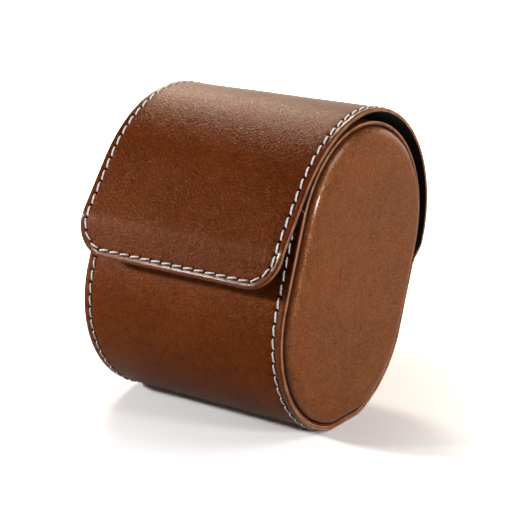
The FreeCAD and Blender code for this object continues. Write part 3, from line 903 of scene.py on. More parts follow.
@dataclass(frozen=True)
class Stitching:
    """Saddle stitches of two-ply thread. Sizes are in millimetres."""

    pitch: float = 4.35
    radius: float = 0.31
    slant: float = 8.0
    hole_radius: float = 0.46
    hole_depth: float = 0.7
    pull: float = 0.1
    sides: int = 12
    rings: int = 22
    twists: float = 2.2
    ply_depth: float = 0.2
    shown_share: float = 0.42
    rise: float = 0.45
    dive: float = 1.9
    flatness: float = 0.85
    thinning: float = 0.3
    pull_reach: float = 0.8
    hole_reach: float = 1.2
    hole_soft: float = 0.35

    def centres(self, length: float, margin_start: float, margin_end: float) -> np.ndarray:
        """Distances along a line of that length at which the stitches are centred.

        Args:
            length: Length of the line.
            margin_start: What stays bare at its start.
            margin_end: What stays bare at its end.

        Returns:
            The distances, evenly spaced.
        """
        run = length - margin_start - margin_end
        count = max(1, round(run / self.pitch))
        return margin_start + run * (np.arange(count) + 0.5) / count

    @staticmethod
    def holes(centres: np.ndarray) -> np.ndarray:
        """Distances of the needle holes, one before each stitch and one after the last."""
        half = (centres[1] - centres[0]) / 2
        return np.concatenate([centres - half, centres[-1:] + half])

    def relief(self, x: np.ndarray, s: np.ndarray, holes: np.ndarray, line: np.ndarray) -> Relief:
        """How the thread pulls the leather in and where the needle went through.

        Args:
            x: Places across the sheet.
            s: Places along the sheet.
            holes: Needle holes as pairs of x and s.
            line: Distance of each place from the line of stitches.

        Returns:
            Heights, none above 0, and the share of each place that is hole, which is painted in shade.
        """
        height = -self.pull * np.exp(-((line / self.pull_reach) ** 2))
        # Share of each place that is painted in shade, in and round a needle hole.
        hole_shade = np.zeros(height.shape)
        for hole_x, hole_s in holes:
            near = (np.abs(x - hole_x) < self.hole_reach) & (np.abs(s - hole_s) < self.hole_reach)
            gap = (x[near] - hole_x) ** 2 + (s[near] - hole_s) ** 2
            height[near] -= self.hole_depth * np.exp(-gap / self.hole_radius ** 2)
            hole_shade[near] += np.exp(-((gap / self.hole_radius ** 2) ** 2) * self.hole_soft)
        return height, np.minimum(hole_shade, 1.0)

    def template(self) -> np.ndarray:
        """One stitch along the first axis: rings of points that dive at both ends.

        Returns:
            The rings, in millimetres.
        """
        share = np.linspace(-1, 1, self.rings)[:, None]
        dive = np.abs(share) ** 5
        along = share * self.pitch * self.shown_share
        up = self.radius * self.rise - dive * self.radius * self.dive
        turn = np.linspace(0, 2 * math.pi, self.sides, endpoint=False)[None, :]
        ply = turn - share * math.pi * self.twists / 2
        radius = self.radius * (1 - self.ply_depth * np.abs(np.sin(ply)) ** 3) * (1 - self.thinning * dive)
        across = radius * np.cos(turn)
        lift = up + radius * np.sin(turn) * self.flatness
        return np.stack([np.broadcast_to(along, across.shape), across, lift], axis=-1)

    def sew(
        self,
        name: str,
        places: np.ndarray,
        ways: np.ndarray,
        outwards: np.ndarray,
        finish: bpy.types.Material,
    ) -> bpy.types.Object:
        """Make a row of stitches as one piece.

        Args:
            name: The piece's name.
            places: Centres of the stitches in metres.
            ways: Directions along the row.
            outwards: Directions out of the leather.
            finish: The thread.

        Returns:
            The piece.
        """
        template = self.template() * MM
        parts = MeshParts()
        turn = math.radians(self.slant)
        for place, way, out in zip(places, ways, outwards):
            across = np.cross(out, way)
            along = way * math.cos(turn) + across * math.sin(turn)
            side = across * math.cos(turn) - way * math.sin(turn)
            stitch = place + template[..., :1] * along + template[..., 1:2] * side + template[..., 2:] * out
            stitch[..., 2] = np.maximum(stitch[..., 2], 0.0)
            numbers = parts.add_points(stitch)
            parts.add_grid(numbers, round_rows=True)
            parts.add_face(numbers[0])
            parts.add_face(numbers[-1][::-1])
        return parts.build(name, [finish])


@dataclass(frozen=True)
class BentSheet:
    """A sheet of leather cut flat, with two round front corners, then bent along a line.

    The sheet's front edge is at 0 along the line. Its border is a profile of insets and
    heights that runs from the top, round the cut edge and under.
    """

    section: Section
    track: Track
    half_width: float
    corner: float
    profile: Profile
    rows: np.ndarray
    columns: np.ndarray
    relief: Callable[[np.ndarray, np.ndarray], Relief]
    rubbed_reach: float = 1.7

    def ring(self, x: np.ndarray, s: np.ndarray) -> tuple[np.ndarray, np.ndarray]:
        """The grid's border, from the back left round the front to the back right.

        Args:
            x: Places across, in rows and columns.
            s: Places along, in rows and columns.

        Returns:
            The border's places and its outward directions.
        """
        border = [np.concatenate([a[:0:-1, 0], a[0, :], a[1:, -1]]) for a in (x, s)]
        places = np.stack(border, axis=1)
        band = self.profile[0][0]
        centre_x = np.clip(places[:, 0], self.corner - self.half_width, self.half_width - self.corner)
        centre = np.stack([centre_x, np.maximum(places[:, 1], self.corner)], axis=1)
        ways = places - centre
        length = np.linalg.norm(ways, axis=1)
        ways /= np.where(length > 0, length, 1)[:, None]
        flat_front = np.abs(places[:, 1] - band) < 1e-6
        ways[flat_front] = (0, -1)
        return places, ways

    def build(self, name: str, finishes: Sequence[bpy.types.Material]) -> bpy.types.Object:
        """Make the sheet.

        Args:
            name: The piece's name.
            finishes: Leather, then cut edge.

        Returns:
            The sheet as one closed piece.
        """
        band = self.profile[0][0]
        inner = self.corner - band
        depth = np.clip(self.corner - self.rows, 0, inner)
        widths = self.half_width - self.corner + np.sqrt(inner ** 2 - depth ** 2)
        x = widths[:, None] * self.columns[None, :]
        s = np.broadcast_to(self.rows[:, None], x.shape)
        parts = MeshParts()
        height, hole_shade = self.relief(x, s)
        grid = self._lay(parts, x, s, height, hole_shade)
        parts.add_grid(grid)
        places, ways = self.ring(x, s)
        ring = np.concatenate([grid[:0:-1, 0], grid[0, :], grid[1:, -1]])
        levels = [ring]
        for inset, height in self.profile[1:]:
            moved = places + ways * (band - inset)
            lift, hole_shade = self.relief(moved[:, 0], moved[:, 1]) if height > -0.3 else (0.0, 0.0)
            levels.append(self._lay(parts, moved[:, 0], moved[:, 1], lift + height, hole_shade))
        cut = len(self.profile) - EDGE_STEPS
        for number, (first, second) in enumerate(zip(levels, levels[1:])):
            parts.add_grid(np.stack([first, second]), finish=int(number >= cut))
        self._close(parts, grid, levels)
        return parts.build(name, finishes)

    def _close(self, parts: MeshParts, grid: np.ndarray, levels: list[np.ndarray]) -> None:
        """Close the sheet underneath, straight across, and at its back end.

        Args:
            parts: What the faces go into.
            grid: Numbers of the points on top.
            levels: Numbers of the points round the border, level by level.
        """
        under = levels[-1]
        rows = len(self.rows)
        left, right = under[rows - 1 :: -1], under[len(under) - rows :]
        parts.add_face([left[1], *under[rows - 1 : len(under) - rows + 1], right[1]])
        for row in range(1, rows - 1):
            parts.add_face([left[row], right[row], right[row + 1], left[row + 1]])
        left_border = [level[0] for level in levels[:0:-1]]
        right_border = [level[-1] for level in levels[1:]]
        parts.add_face([*left_border, *grid[-1], *right_border])

    def _lay(
        self, parts: MeshParts, x: np.ndarray, s: np.ndarray, height: np.ndarray, hole_shade: np.ndarray | float
    ) -> np.ndarray:
        """Bend flat places along the line, lift them off it and add them.

        Args:
            parts: What the points go into.
            x: Places across.
            s: Places along.
            height: How far each place stands out.
            hole_shade: How much of each place is in a needle hole.

        Returns:
            The points' numbers.
        """
        s = np.clip(s, 0, self.track.length)
        height = np.broadcast_to(height, s.shape)
        spots = self.track.place(s) + self.track.outward(s) * height[..., None]
        bent = self.section.to_row(x, spots[..., 0], spots[..., 1])
        rubbed = np.exp(-((np.minimum(self.half_width - np.abs(x), s) / self.rubbed_reach) ** 2))
        return parts.add_points(bent, hole_shade, np.stack([x, s, height], axis=-1) * MM, rubbed)


def edge_profile(band: float, thickness: float, shoulder: float, turn: float) -> Profile:
    """Insets and heights round a cut edge, with an eased shoulder above it.

    Args:
        band: Where the profile starts, in from the edge.
        thickness: Thickness of the sheet.
        shoulder: How far the shoulder drops before the edge.
        turn: Radius of the edge itself.

    Returns:
        The profile, ending under the sheet.
    """
    insets = np.linspace(band, turn, max(4, int(band / 0.11)))[:-1]
    profile = [(float(i), float(-shoulder * (1 - i / band) ** 2.2)) for i in insets]
    for angle in (90, 60, 35, 10):
        across, up = math.cos(math.radians(angle)), math.sin(math.radians(angle))
        profile.append((turn * (1 - across), -shoulder - turn * (1 - up)))
    low = thickness - turn * 0.6
    profile += [(0.0, -low), (turn * 0.25, -thickness + turn * 0.2), (turn * 0.8, -thickness)]
    return tuple(profile)


@dataclass
class BodyWrap:
    """The leather U of the body with its turned lip and two rows of stitches."""

    section: Section
    finishes: Finishes
    lip_height: float = 16.6
    back_height: float = 8.62
    leather: float = 0.8
    wall: float = 3.1
    inside_half: float = 32.0
    stitch_inset: float = 2.8
    lip_margin: float = 1.5
    hinge_margin: float = 0.5
    border: float = 1.0
    lip_corner: float = 1.3
    lip_turn: float = 0.55
    wave_depth: float = 0.05
    calm_edge: float = 6.0
    stitching: Stitching = field(default_factory=Stitching)

    def build(self) -> None:
        """Build the wrap, its lip and its stitches."""
        track = self.section.body_track(self.lip_height, self.back_height)
        centres = self.stitching.centres(track.length, self.lip_margin, self.hinge_margin)
        self._skin(track, centres)
        self._lip()
        for side in Side:
            self._stitches(track, centres, side)

    def _skin(self, track: Track, centres: np.ndarray) -> None:
        """The wrap itself, pulled in a little by its stitches.

        Args:
            track: The outside of the wrap.
            centres: Centres of the stitches along it.
        """
        half = self.section.half_length
        row = half - self.stitch_inset
        hole_places = self.stitching.holes(centres)
        holes = np.array([(side.value * row, place) for side in Side for place in hole_places])

        def relief(x: np.ndarray, s: np.ndarray) -> Relief:
            """How the wrap rises and falls.

            Args:
                x: Places across the sheet.
                s: Places along the sheet.

            Returns:
                Heights and shares of hole.
            """
            waves = self.wave_depth * np.sin(x / 9.0 + s / 17.0) * np.sin(s / 11.0 + 1.3)
            edge = 1 - np.exp(-(((half - np.abs(x)) / self.calm_edge) ** 2))
            pulled, hole_shade = self.stitching.relief(x, s, holes, np.abs(np.abs(x) - row))
            return pulled - np.abs(waves) * edge, hole_shade

        inner_half = half - self.border
        columns = clustered(np.array([-row, row]), -inner_half, inner_half, 2.6) / inner_half
        rows = clustered(hole_places, self.border, track.length, 1.1)
        sheet = BentSheet(
            section=self.section,
            track=track,
            half_width=half,
            corner=self.lip_corner,
            profile=edge_profile(self.border, self.leather, 0.08, 0.3),
            rows=rows,
            columns=columns,
            relief=relief,
        )
        piece = sheet.build("body_wrap", [self.finishes.leather, self.finishes.edge])
        seat(piece, "case", "outer_leather", "body_leather")

    def _lip(self) -> None:
        """The leather turned over the board at the front lip, rounded along its inner edge."""
        outer = self.section.half_depth - self.leather * 0.55
        inner = self.section.half_depth - self.wall
        top = self.lip_height - 0.03
        turn = self.lip_turn
        under = top - self.leather
        corner = arc((-inner - turn, top - turn), turn, 90, 0, 7)
        outline = np.concatenate([[[-outer, under], [-outer, top]], corner, [[-inner, under]]])
        parts = MeshParts()
        ends = np.linspace(-self.inside_half, self.inside_half, 24)[:, None]
        parts.add_tube(self.section.to_row(ends, outline[None, :, 0], outline[None, :, 1]))
        seat(parts.build("lip_fold", [self.finishes.leather]), "case", "outer_leather")

    def _stitches(self, track: Track, centres: np.ndarray, side: Side) -> None:
        """One row of stitches beside an end.

        Args:
            track: The outside of the wrap.
            centres: Centres of the stitches along it.
            side: The end.
        """
        x = side.value * (self.section.half_length - self.stitch_inset)
        row = bent_row(self.section, track, beside(x, centres, side.value))
        piece = self.stitching.sew(f"{side.word}_body_thread", *row, self.finishes.thread)
        seat(piece, "case", "thread", f"{side.word}_body_stitches")


def beside(x: float, centres: np.ndarray, way: int) -> np.ndarray:
    """A straight row of stitches in the flat sheet.

    Args:
        x: Place of the row across the sheet.
        centres: Centres of the stitches along the sheet.
        way: 1 where the row is sewn towards the back, or -1.

    Returns:
        A place and a direction for each stitch, as x, s, way in x and way in s.
    """
    return np.array([(x, centre, 0.0, way) for centre in centres])


def bent_row(section: Section, track: Track, row: np.ndarray) -> tuple[np.ndarray, np.ndarray, np.ndarray]:
    """Bend a row of stitches with the sheet.

    Args:
        section: The section that the sheet goes round.
        track: The line that the sheet follows.
        row: A place and a direction for each stitch in the flat sheet.

    Returns:
        The stitches' places in metres, their directions and the ways out of the leather.
    """
    x, s, way_x, way_s = row.T
    none = np.zeros(len(s))
    origin = section.to_row(none, none, none)
    spots, heading, out = track.place(s), track.heading(s) * way_s[:, None], track.outward(s)
    places = section.to_row(x, spots[:, 0], spots[:, 1])
    ways = (section.to_row(way_x, heading[:, 0], heading[:, 1]) - origin) / MM
    outwards = (section.to_row(none, out[:, 0], out[:, 1]) - origin) / MM
    return places, ways, outwards


@dataclass
class Flap:
    """The lid: one stiff flap over the top and front, stitched round three sides."""

    section: Section
    finishes: Finishes
    half_length: float = 40.25
    top_centre: tuple[float, float] = (1.5, 16.5)
    top_radius: float = 39.0
    front_radius: float = 50.0
    front_start: float = 130.0
    slant: float = 16.5
    front: float = 45.3
    turn_radius: float = 5.0
    drop: float = 10.6
    corner: float = 12.0
    heel_radius: float = 7.0
    heel_turn: float = 34.0
    heel_line: float = 1.8
    leather: float = 0.8
    stitch_inset: float = 2.5
    hinge_margin: float = 0.5
    border: float = 2.2
    easing: float = 1.6
    press_inset: float = 1.75
    press_depth: float = 0.14
    press_width: float = 0.75
    press_ease: float = 0.4
    wave_depth: float = 0.1
    calm_edge: float = 8.0
    stitching: Stitching = field(default_factory=Stitching)

    def track(self) -> Track:
        """The outside of the flap, from the front edge over the top to the heel.

        Returns:
            The line.
        """
        slant = 180 - self.slant
        front_centre = polar(self.top_centre, self.top_radius - self.front_radius, self.front_start)
        front_end = polar(front_centre, self.front_radius, slant)
        cos, sin = math.cos(math.radians(slant)), math.sin(math.radians(slant))
        run = (front_end[0] + self.front - self.turn_radius * (1 + cos)) / sin
        turn_centre = (self.turn_radius - self.front, front_end[1] + run * cos - self.turn_radius * sin)
        heel_centre = (self.top_centre[0] + self.top_radius - self.heel_radius, self.top_centre[1])
        heel = arc(heel_centre, self.heel_radius, 0, -self.heel_turn)
        return Track(
            np.concatenate([
                [[-self.front, -self.drop]],
                arc(turn_centre, self.turn_radius, 180, slant),
                arc(front_centre, self.front_radius, slant, self.front_start),
                arc(self.top_centre, self.top_radius, self.front_start, 0, 200),
                heel[1:],
                [polar(heel[-1], self.heel_line, 270 - self.heel_turn)],
            ]),
            facing=1,
            easing=self.easing,
        )

    def build(self) -> None:
        """Build the flap and its stitches."""
        track = self.track()
        side_run = self.stitching.centres(track.length, self.corner, self.hinge_margin)
        front_row, front_holes = self._front_row()
        self._skin(track, side_run, front_holes)
        self._stitches(track, side_run, front_row)

    def _front_row(self) -> tuple[np.ndarray, np.ndarray]:
        """Stitches round the front, as places and directions in the flat sheet.

        Returns:
            The row, and the places of its needle holes.
        """
        half = self.half_length - self.stitch_inset
        radius = self.corner - self.stitch_inset
        left = arc((radius - half, self.corner), radius, 180, 270)
        right = arc((half - radius, self.corner), radius, 270, 360)
        line = Track(np.concatenate([left, right]), facing=1, easing=0.2)
        centres = self.stitching.centres(line.length, 0, 0)
        holes = line.place(self.stitching.holes(centres))
        return np.concatenate([line.place(centres), line.heading(centres)], axis=1), holes

    def _skin(self, track: Track, side_run: np.ndarray, front_holes: np.ndarray) -> None:
        """The outer leather, with its pressed line, pulled in by its stitches.

        Args:
            track: The outside of the flap.
            side_run: Centres of the stitches along each side.
            front_holes: Needle holes round the front, as x and s.
        """
        half = self.half_length
        line_x = half - self.stitch_inset
        side_holes = self.stitching.holes(side_run)
        holes = [(side.value * line_x, place) for side in Side for place in side_holes[1:]]
        holes = np.concatenate([np.array(holes), front_holes])

        def inset(x: np.ndarray, s: np.ndarray) -> np.ndarray:
            """How far in from the edge a place is.

            Args:
                x: Places across the sheet.
                s: Places along the sheet.

            Returns:
                Distances in millimetres.
            """
            over = np.maximum(np.abs(x) - (half - self.corner), 0)
            ahead = np.maximum(self.corner - s, 0)
            rounded = self.corner - np.hypot(over, ahead)
            return np.where((over > 0) & (ahead > 0), rounded, np.minimum(half - np.abs(x), s))

        def relief(x: np.ndarray, s: np.ndarray) -> Relief:
            """How the flap rises and falls.

            Args:
                x: Places across the sheet.
                s: Places along the sheet.

            Returns:
                Heights and shares of hole.
            """
            away = inset(x, s)
            reach = np.where(away > self.press_inset, self.press_ease, self.press_width)
            pressed = self.press_depth * np.exp(-(((away - self.press_inset) / reach) ** 2))
            waves = np.abs(self.wave_depth * np.sin(x / 13.0 + 0.6) * np.sin(s / 16.0 + x / 31.0))
            middle = 1 - np.exp(-((away / self.calm_edge) ** 2))
            pulled, hole_shade = self.stitching.relief(x, s, holes, away - self.stitch_inset)
            return pulled - pressed - waves * middle, hole_shade

        inner_half = half - self.border
        at_front = half - self.corner + math.sqrt(
            (self.corner - self.border) ** 2 - (self.corner - self.stitch_inset) ** 2
        )
        shares = np.concatenate([[-line_x / inner_half, line_x / inner_half], front_holes[:, 0] / at_front])
        shares = np.unique(shares[np.abs(shares) < 1].round(4))
        columns = clustered(shares * inner_half, -inner_half, inner_half, 1.6) / inner_half
        angles = np.radians(np.linspace(0, 90, 24))
        corner_rows = self.corner - (self.corner - self.border) * np.cos(angles)
        near = np.arange(self.stitch_inset - 0.6, self.stitch_inset + 0.7, 0.2)
        front_rows = np.unique(np.concatenate([corner_rows, near[near > self.border + 0.05]]).round(3))
        keep = np.concatenate([[True], np.diff(front_rows) > 0.05])
        back_rows = clustered(side_holes, self.corner, track.length, 1.1)
        sheet = BentSheet(
            section=self.section,
            track=track,
            half_width=half,
            corner=self.corner,
            profile=edge_profile(self.border, self.leather, 0.1, 0.32),
            rows=np.concatenate([front_rows[keep][:-1], back_rows]),
            columns=columns,
            relief=relief,
        )
        # The flap wears the darker copy of the body's leather, which is painted shade.
        piece = sheet.build("shaded_flap_leather", [self.finishes.shaded_flap_leather, self.finishes.edge])
        seat(piece, "lid", "outer_leather", "lid_leather")

    def _stitches(self, track: Track, side_run: np.ndarray, front_row: np.ndarray) -> None:
        """All the flap's stitches as one piece.

        Args:
            track: The outside of the flap.
            side_run: Centres of the stitches along each side.
            front_row: The row round the front.
        """
        half = self.half_length - self.stitch_inset
        sides = [beside(side.value * half, side_run, side.value) for side in Side]
        rows = [bent_row(self.section, track, row) for row in (*sides, front_row)]
        joined = [np.concatenate(group) for group in zip(*rows)]
        piece = self.stitching.sew("flap_thread", *joined, self.finishes.thread)
        seat(piece, "lid", "thread", "lid_stitches")


@dataclass
class Crease:
    """The leather and the lining that fold where the flap joins the back."""

    section: Section
    finishes: Finishes
    flap_end: tuple[float, float] = (38.27, 11.05)
    low: float = 8.62
    crease_height: float = 9.61
    leather: float = 0.8
    lining: float = 0.7
    half_length: float = 40.0
    inside_half: float = 32.0

    def build(self) -> None:
        """Build both strips."""
        half_depth = self.section.half_depth
        outside = np.array([[half_depth, self.low], [half_depth, self.crease_height], self.flap_end])
        outer = Track(outside, facing=-1, easing=0.18)
        self._strip("crease_leather", outer, 0.0, self.leather, self.half_length, "hinge_leather")
        gap = self.leather + 0.03
        self._strip("crease_lining", outer, gap, gap + self.lining, self.inside_half, "hinge_lining")

    def _strip(self, name: str, track: Track, near: float, far: float, half: float, node: str) -> None:
        """One strip between two depths below the outside.

        Args:
            name: Name of the piece.
            track: The outside of the crease.
            near: Depth of the strip's outer face.
            far: Depth of its inner face.
            half: Half its length.
            node: The node that it replaces.
        """
        along = np.linspace(0, track.length, 28)
        spots, out = track.place(along), track.outward(along)
        loop = np.concatenate([spots - out * near, (spots - out * far)[::-1]])
        parts = MeshParts()
        ends = np.linspace(-half, half, 41)[:, None]
        parts.add_tube(self.section.to_row(ends, loop[None, :, 0], loop[None, :, 1]))
        leather = name == "crease_leather"
        finish = self.finishes.leather if leather else self.finishes.velvet
        piece = parts.build(name, [finish])
        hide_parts(node)
        start = self.section.to_row(*(np.array(v) for v in (0.0, *loop[0])))
        end = self.section.to_row(*(np.array(v) for v in (0.0, *loop[len(along) - 1])))
        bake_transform(piece)


@dataclass
class OvalEnd:
    """One end of the case: a leather rim, a foam pad and the leather drawn over it."""

    section: Section
    finishes: Finishes
    side: Side
    rim_outer: float = 0.85
    rim_inner: float = 2.15
    rim_start: float = 32.05
    rim_end: float = 39.8
    rim_turn: float = 0.34
    rim_groove: float = 0.13
    rim_meeting: float = 0.72
    rim_rows: int = 9
    rim_step: float = 0.1
    rim_soften: float = 0.6
    pad_inset: float = 2.45
    pad_start: float = 33.95
    pad_side: float = 5.2
    pad_crown: float = 3.2
    pad_edge: float = 4.4
    pad_dome: float = 18.0
    edge_share: float = 0.82
    pad_leather: float = 0.8
    foam_gap: float = 0.06
    ripple_depth: float = 0.05
    dent_depth: float = 0.05
    seam_shade: float = 0.6
    innermost: float = 33.2

    def build(self) -> None:
        """Build the rim, the pad and its foam."""
        self._rim()
        # The pad wears the lighter copy of the leather, which is painted light.
        pad = self._crowned(f"{self.side.word}_pad", 0.0, self.finishes.pad_leather)
        seat(pad, "case", "panel_leather", f"{self.side.word}_end_leather")
        foam = self._crowned(f"{self.side.word}_pad_foam", self.pad_leather, self.finishes.foam)
        seat(foam, "case", "foam", f"{self.side.word}_end_foam")

    def _rings(self, profile: Sequence[tuple[float, float]]) -> np.ndarray:
        """Oval rings for a profile of insets and distances from the middle.

        Args:
            profile: The pairs of inset and distance, in millimetres.

        Returns:
            The rings in metres, one row each.
        """
        rings = []
        for inset, x in profile:
            ring = self.section.oval(inset)
            rings.append(self.section.to_row(np.full(len(ring), x * self.side.value), ring[:, 0], ring[:, 1]))
        return np.array(rings)

    def _rim(self) -> None:
        """The rim: two thicknesses of leather with a fine groove where they meet."""
        turn = self.rim_turn
        top = self.rim_end
        middle = self.rim_outer + self.rim_meeting
        profile = [(self.rim_outer, x) for x in np.linspace(self.rim_start, top - turn, self.rim_rows)]
        for angle in (22, 45, 68, 90):
            across, up = math.cos(math.radians(angle)), math.sin(math.radians(angle))
            profile.append((self.rim_outer + turn * (1 - across), top - turn * (1 - up)))
        first_inner = len(profile)
        groove = ((-0.16, 0.0), (-0.06, 0.6), (0.0, 1.0), (0.06, 0.7), (0.16, 0.25))
        for away, depth in groove:
            profile.append((middle + away, top - self.rim_groove * depth))
        inner_top = top - self.rim_step
        inner_turn = turn * self.rim_soften
        for angle in (90, 60, 30, 0):
            across, up = math.cos(math.radians(angle)), math.sin(math.radians(angle))
            inset = self.rim_inner - inner_turn * (1 - across)
            profile.append((inset, inner_top - inner_turn * (1 - up)))
        profile += [(self.rim_inner, self.pad_start - 1.9), (self.rim_inner, self.rim_start)]
        parts = MeshParts()
        numbers = parts.add_points(self._rings(profile))
        numbers = np.concatenate([numbers, numbers[:1]])
        for index in range(len(profile)):
            end_face = self.rim_rows <= index + 1 and index < first_inner + 1
            inner_face = first_inner + 1 <= index < first_inner + 8
            finish = 1 if end_face else 2 if inner_face else 0
            parts.add_grid(numbers[index : index + 2], finish=finish, round_rows=True)
        finishes = [self.finishes.rim_leather, self.finishes.edge, self.finishes.dark_edge]
        piece = parts.build(f"{self.side.word}_rim", finishes)
        seat(piece, "case", "rim_leather", f"{self.side.word}_end_rim")

    def _rise(self, step: float) -> float:
        """Share of the crown reached at a step in from the pad's edge.

        Args:
            step: The step in millimetres.

        Returns:
            The share, 0 to 1.
        """
        to_edge = 1 - min(1.0, step / self.pad_edge)
        to_middle = 1 - min(1.0, step / self.pad_dome)
        edge = math.sqrt(1 - to_edge ** 2)
        return self.edge_share * edge + (1 - self.edge_share) * (1 - to_middle ** 2)

    def _crowned(self, name: str, skin: float, finish: bpy.types.Material) -> bpy.types.Object:
        """A crowned oval with soft sides, a skin's depth inside the outside of the pad.

        Args:
            name: Name of the piece.
            skin: Depth below the outside, in millimetres.
            finish: Its material.

        Returns:
            The piece.
        """
        clear = self.foam_gap if skin else 0.0
        start = self.pad_start + clear
        top = self.pad_start + self.pad_side - skin
        outline = self.pad_inset + skin + clear
        bulge = [(0.16, 0.0), (0.05, 0.3), (0.0, 0.62), (0.0, 0.85)]
        profile = [(outline + inset, start + (top - start) * share) for inset, share in bulge]
        steps = (np.linspace(0, 1, 34) ** 2.4) * (self.innermost - outline)
        profile += [(outline + step, top + self.pad_crown * self._rise(step)) for step in steps]
        points = self._rings(profile)
        count = points.shape[1]
        turn = np.linspace(0, 2 * math.pi, count, endpoint=False)[None, :]
        depth = np.array([inset - outline for inset, _ in profile])[:, None]
        at_edge = np.exp(-(((depth - 1.2) / 1.6) ** 2))
        waves = np.sin(turn * 23) + np.sin(turn * 41 + 1.0) + 0.7 * np.sin(turn * 67 + 2.0)
        ripple = self.ripple_depth * waves
        dent = self.dent_depth * np.sin(turn * 3 + 0.7) * np.exp(-((depth - 14) / 9) ** 2)
        points[..., 0] -= (np.abs(ripple) * at_edge + np.abs(dent)) * self.side.value * MM
        parts = MeshParts()
        rubbed = np.exp(-(((depth - 0.9) / 1.5) ** 2))
        # Painted shade: the pad's leather is darker at its foot, in the groove by the rim.
        shaded = self.seam_shade * np.exp(-((np.maximum(depth, 0) / 0.5) ** 2))
        parts.add_tube(points, shaded, rubbed)
        return parts.build(name, [finish])


@dataclass
class WatchPillow:
    """The velvet pillow that a watch is buckled round: foam in a sewn sleeve with two ends."""

    section: Section
    finishes: Finishes
    length: float = 58.0
    radius: float = 23.5
    rise: float = 9.5
    centre: tuple[float, float] = (9.9, -7.5)
    undersize: float = 1.3
    draw: float = 1.6
    pressure: float = 4.0
    frames: int = 20
    cap: float = 1.6
    held_in: float = 1.1
    seam_in: float = 0.6
    seam_depth: float = 0.9
    seam_width: float = 0.9
    end_rings: int = 5
    end_dome: float = 1.1
    end_step: float = 0.19
    cord_radius: float = 0.75
    cord_inset: float = 0.35
    foam_inset: float = 1.6

    def build(self) -> None:
        """Build the velvet, swell it, pinch its seams and put the foam inside."""
        velvet = self._barrel("pillow_velvet", self.undersize, self.finishes.pillow_velvet)
        self._swell(velvet)
        self._pinch(velvet)
        seat(velvet, "pillow", "pillow_velvet", "pillow_cover", "left_pillow_end", "right_pillow_end")
        foam = self._barrel("pillow_foam", self.undersize + self.foam_inset, self.finishes.foam)
        seat(foam, "pillow", "foam", "pillow_core")
        for side in Side:
            self._piping(side)

    def _oval(self, inset: float, per_arc: int = 20) -> np.ndarray:
        """A ring round the pillow.

        Args:
            inset: Distance in from the outside of the pillow.
            per_arc: Points on half of each round part.

        Returns:
            The ring.
        """
        radius = self.radius - inset
        top = (self.centre[0], self.centre[1] + self.rise)
        low = (self.centre[0], self.centre[1] - self.rise)
        share = np.linspace(0, 1, per_arc // 2)[1:-1, None]
        upper, lower = arc(top, radius, 0, 180, per_arc * 2), arc(low, radius, 180, 360, per_arc * 2)
        left = upper[-1] * (1 - share) + lower[0] * share
        right = lower[-1] * (1 - share) + upper[0] * share
        return np.concatenate([upper, left, lower, right])

    def _barrel(self, name: str, inset: float, finish: bpy.types.Material) -> bpy.types.Object:
        """A closed barrel, drawn in towards both ends and domed over them.

        Args:
            name: Name of the piece.
            inset: Distance in from the outside of the pillow.
            finish: Its material.

        Returns:
            The piece.
        """
        half = self.length / 2 - inset
        ends = [1.0] * self.end_rings
        along = -np.cos(np.linspace(0, math.pi, 25))
        shares = np.concatenate([np.negative(ends), along, ends])
        rings = []
        for number, share in enumerate(shares):
            closing = max(self.end_rings - number, number - len(shares) + self.end_rings + 1, 0)
            drawn = inset + self.draw * abs(share) ** 5 + self.radius * self.end_step * closing
            ring = self._oval(min(drawn, self.radius - 0.6))
            dome = self.end_dome * (math.sqrt(closing / self.end_rings) - 1)
            x = np.full(len(ring), share * half + math.copysign(1.0, share) * dome)
            rings.append(self.section.to_row(x, ring[:, 0], ring[:, 1]))
        parts = MeshParts()
        parts.add_tube(np.array(rings))
        return parts.build(name, [finish])

    def _swell(self, piece: bpy.types.Object) -> None:
        """Puff the velvet with a short cloth simulation, held at its two end seams.

        Args:
            piece: The velvet.
        """
        scene = bpy.context.scene
        rest = self._points(piece)
        seam = self.length / 2 - self.undersize - self.held_in
        held = np.flatnonzero(np.abs(np.abs(rest[:, 0]) - seam * MM) < 0.1 * MM).tolist()
        group = piece.vertex_groups.new(name="seams")
        group.add(held, 1.0, "REPLACE")
        cloth = piece.modifiers.new("cloth", "CLOTH")
        cloth.settings.use_pressure = True
        cloth.settings.uniform_pressure_force = self.pressure
        cloth.settings.effector_weights.gravity = 0
        cloth.settings.vertex_group_mass = group.name
        for frame in range(1, self.frames + 1):
            scene.frame_set(frame)
        self._keep_shape(piece)
        scene.frame_set(1)
        moved = self._points(piece) - rest
        reach = np.linalg.norm(moved, axis=1)
        limit = self.cap * MM
        share = np.minimum(1, limit / np.maximum(reach, 1e-9))
        piece.data.vertices.foreach_set("co", (rest + moved * share[:, None]).ravel())
        smooth = piece.modifiers.new("finer", "SUBSURF")
        smooth.levels = 1
        self._keep_shape(piece)
        piece.data.polygons.foreach_set("use_smooth", [True] * len(piece.data.polygons))
        log.info("%s swelled by up to %.2f mm", piece.name, reach.max() / MM)

    @staticmethod
    def _points(piece: bpy.types.Object) -> np.ndarray:
        """The piece's points.

        Args:
            piece: The piece.

        Returns:
            Their places in metres, one row each.
        """
        points = np.zeros(len(piece.data.vertices) * 3)
        piece.data.vertices.foreach_get("co", points)
        return points.reshape(-1, 3)

    @staticmethod
    def _keep_shape(piece: bpy.types.Object) -> None:
        """Keep what the modifiers make and drop them.

        Args:
            piece: The piece.
        """
        shown = piece.evaluated_get(bpy.context.evaluated_depsgraph_get())
        mesh = bpy.data.meshes.new_from_object(shown)
        piece.modifiers.clear()
        piece.data = mesh

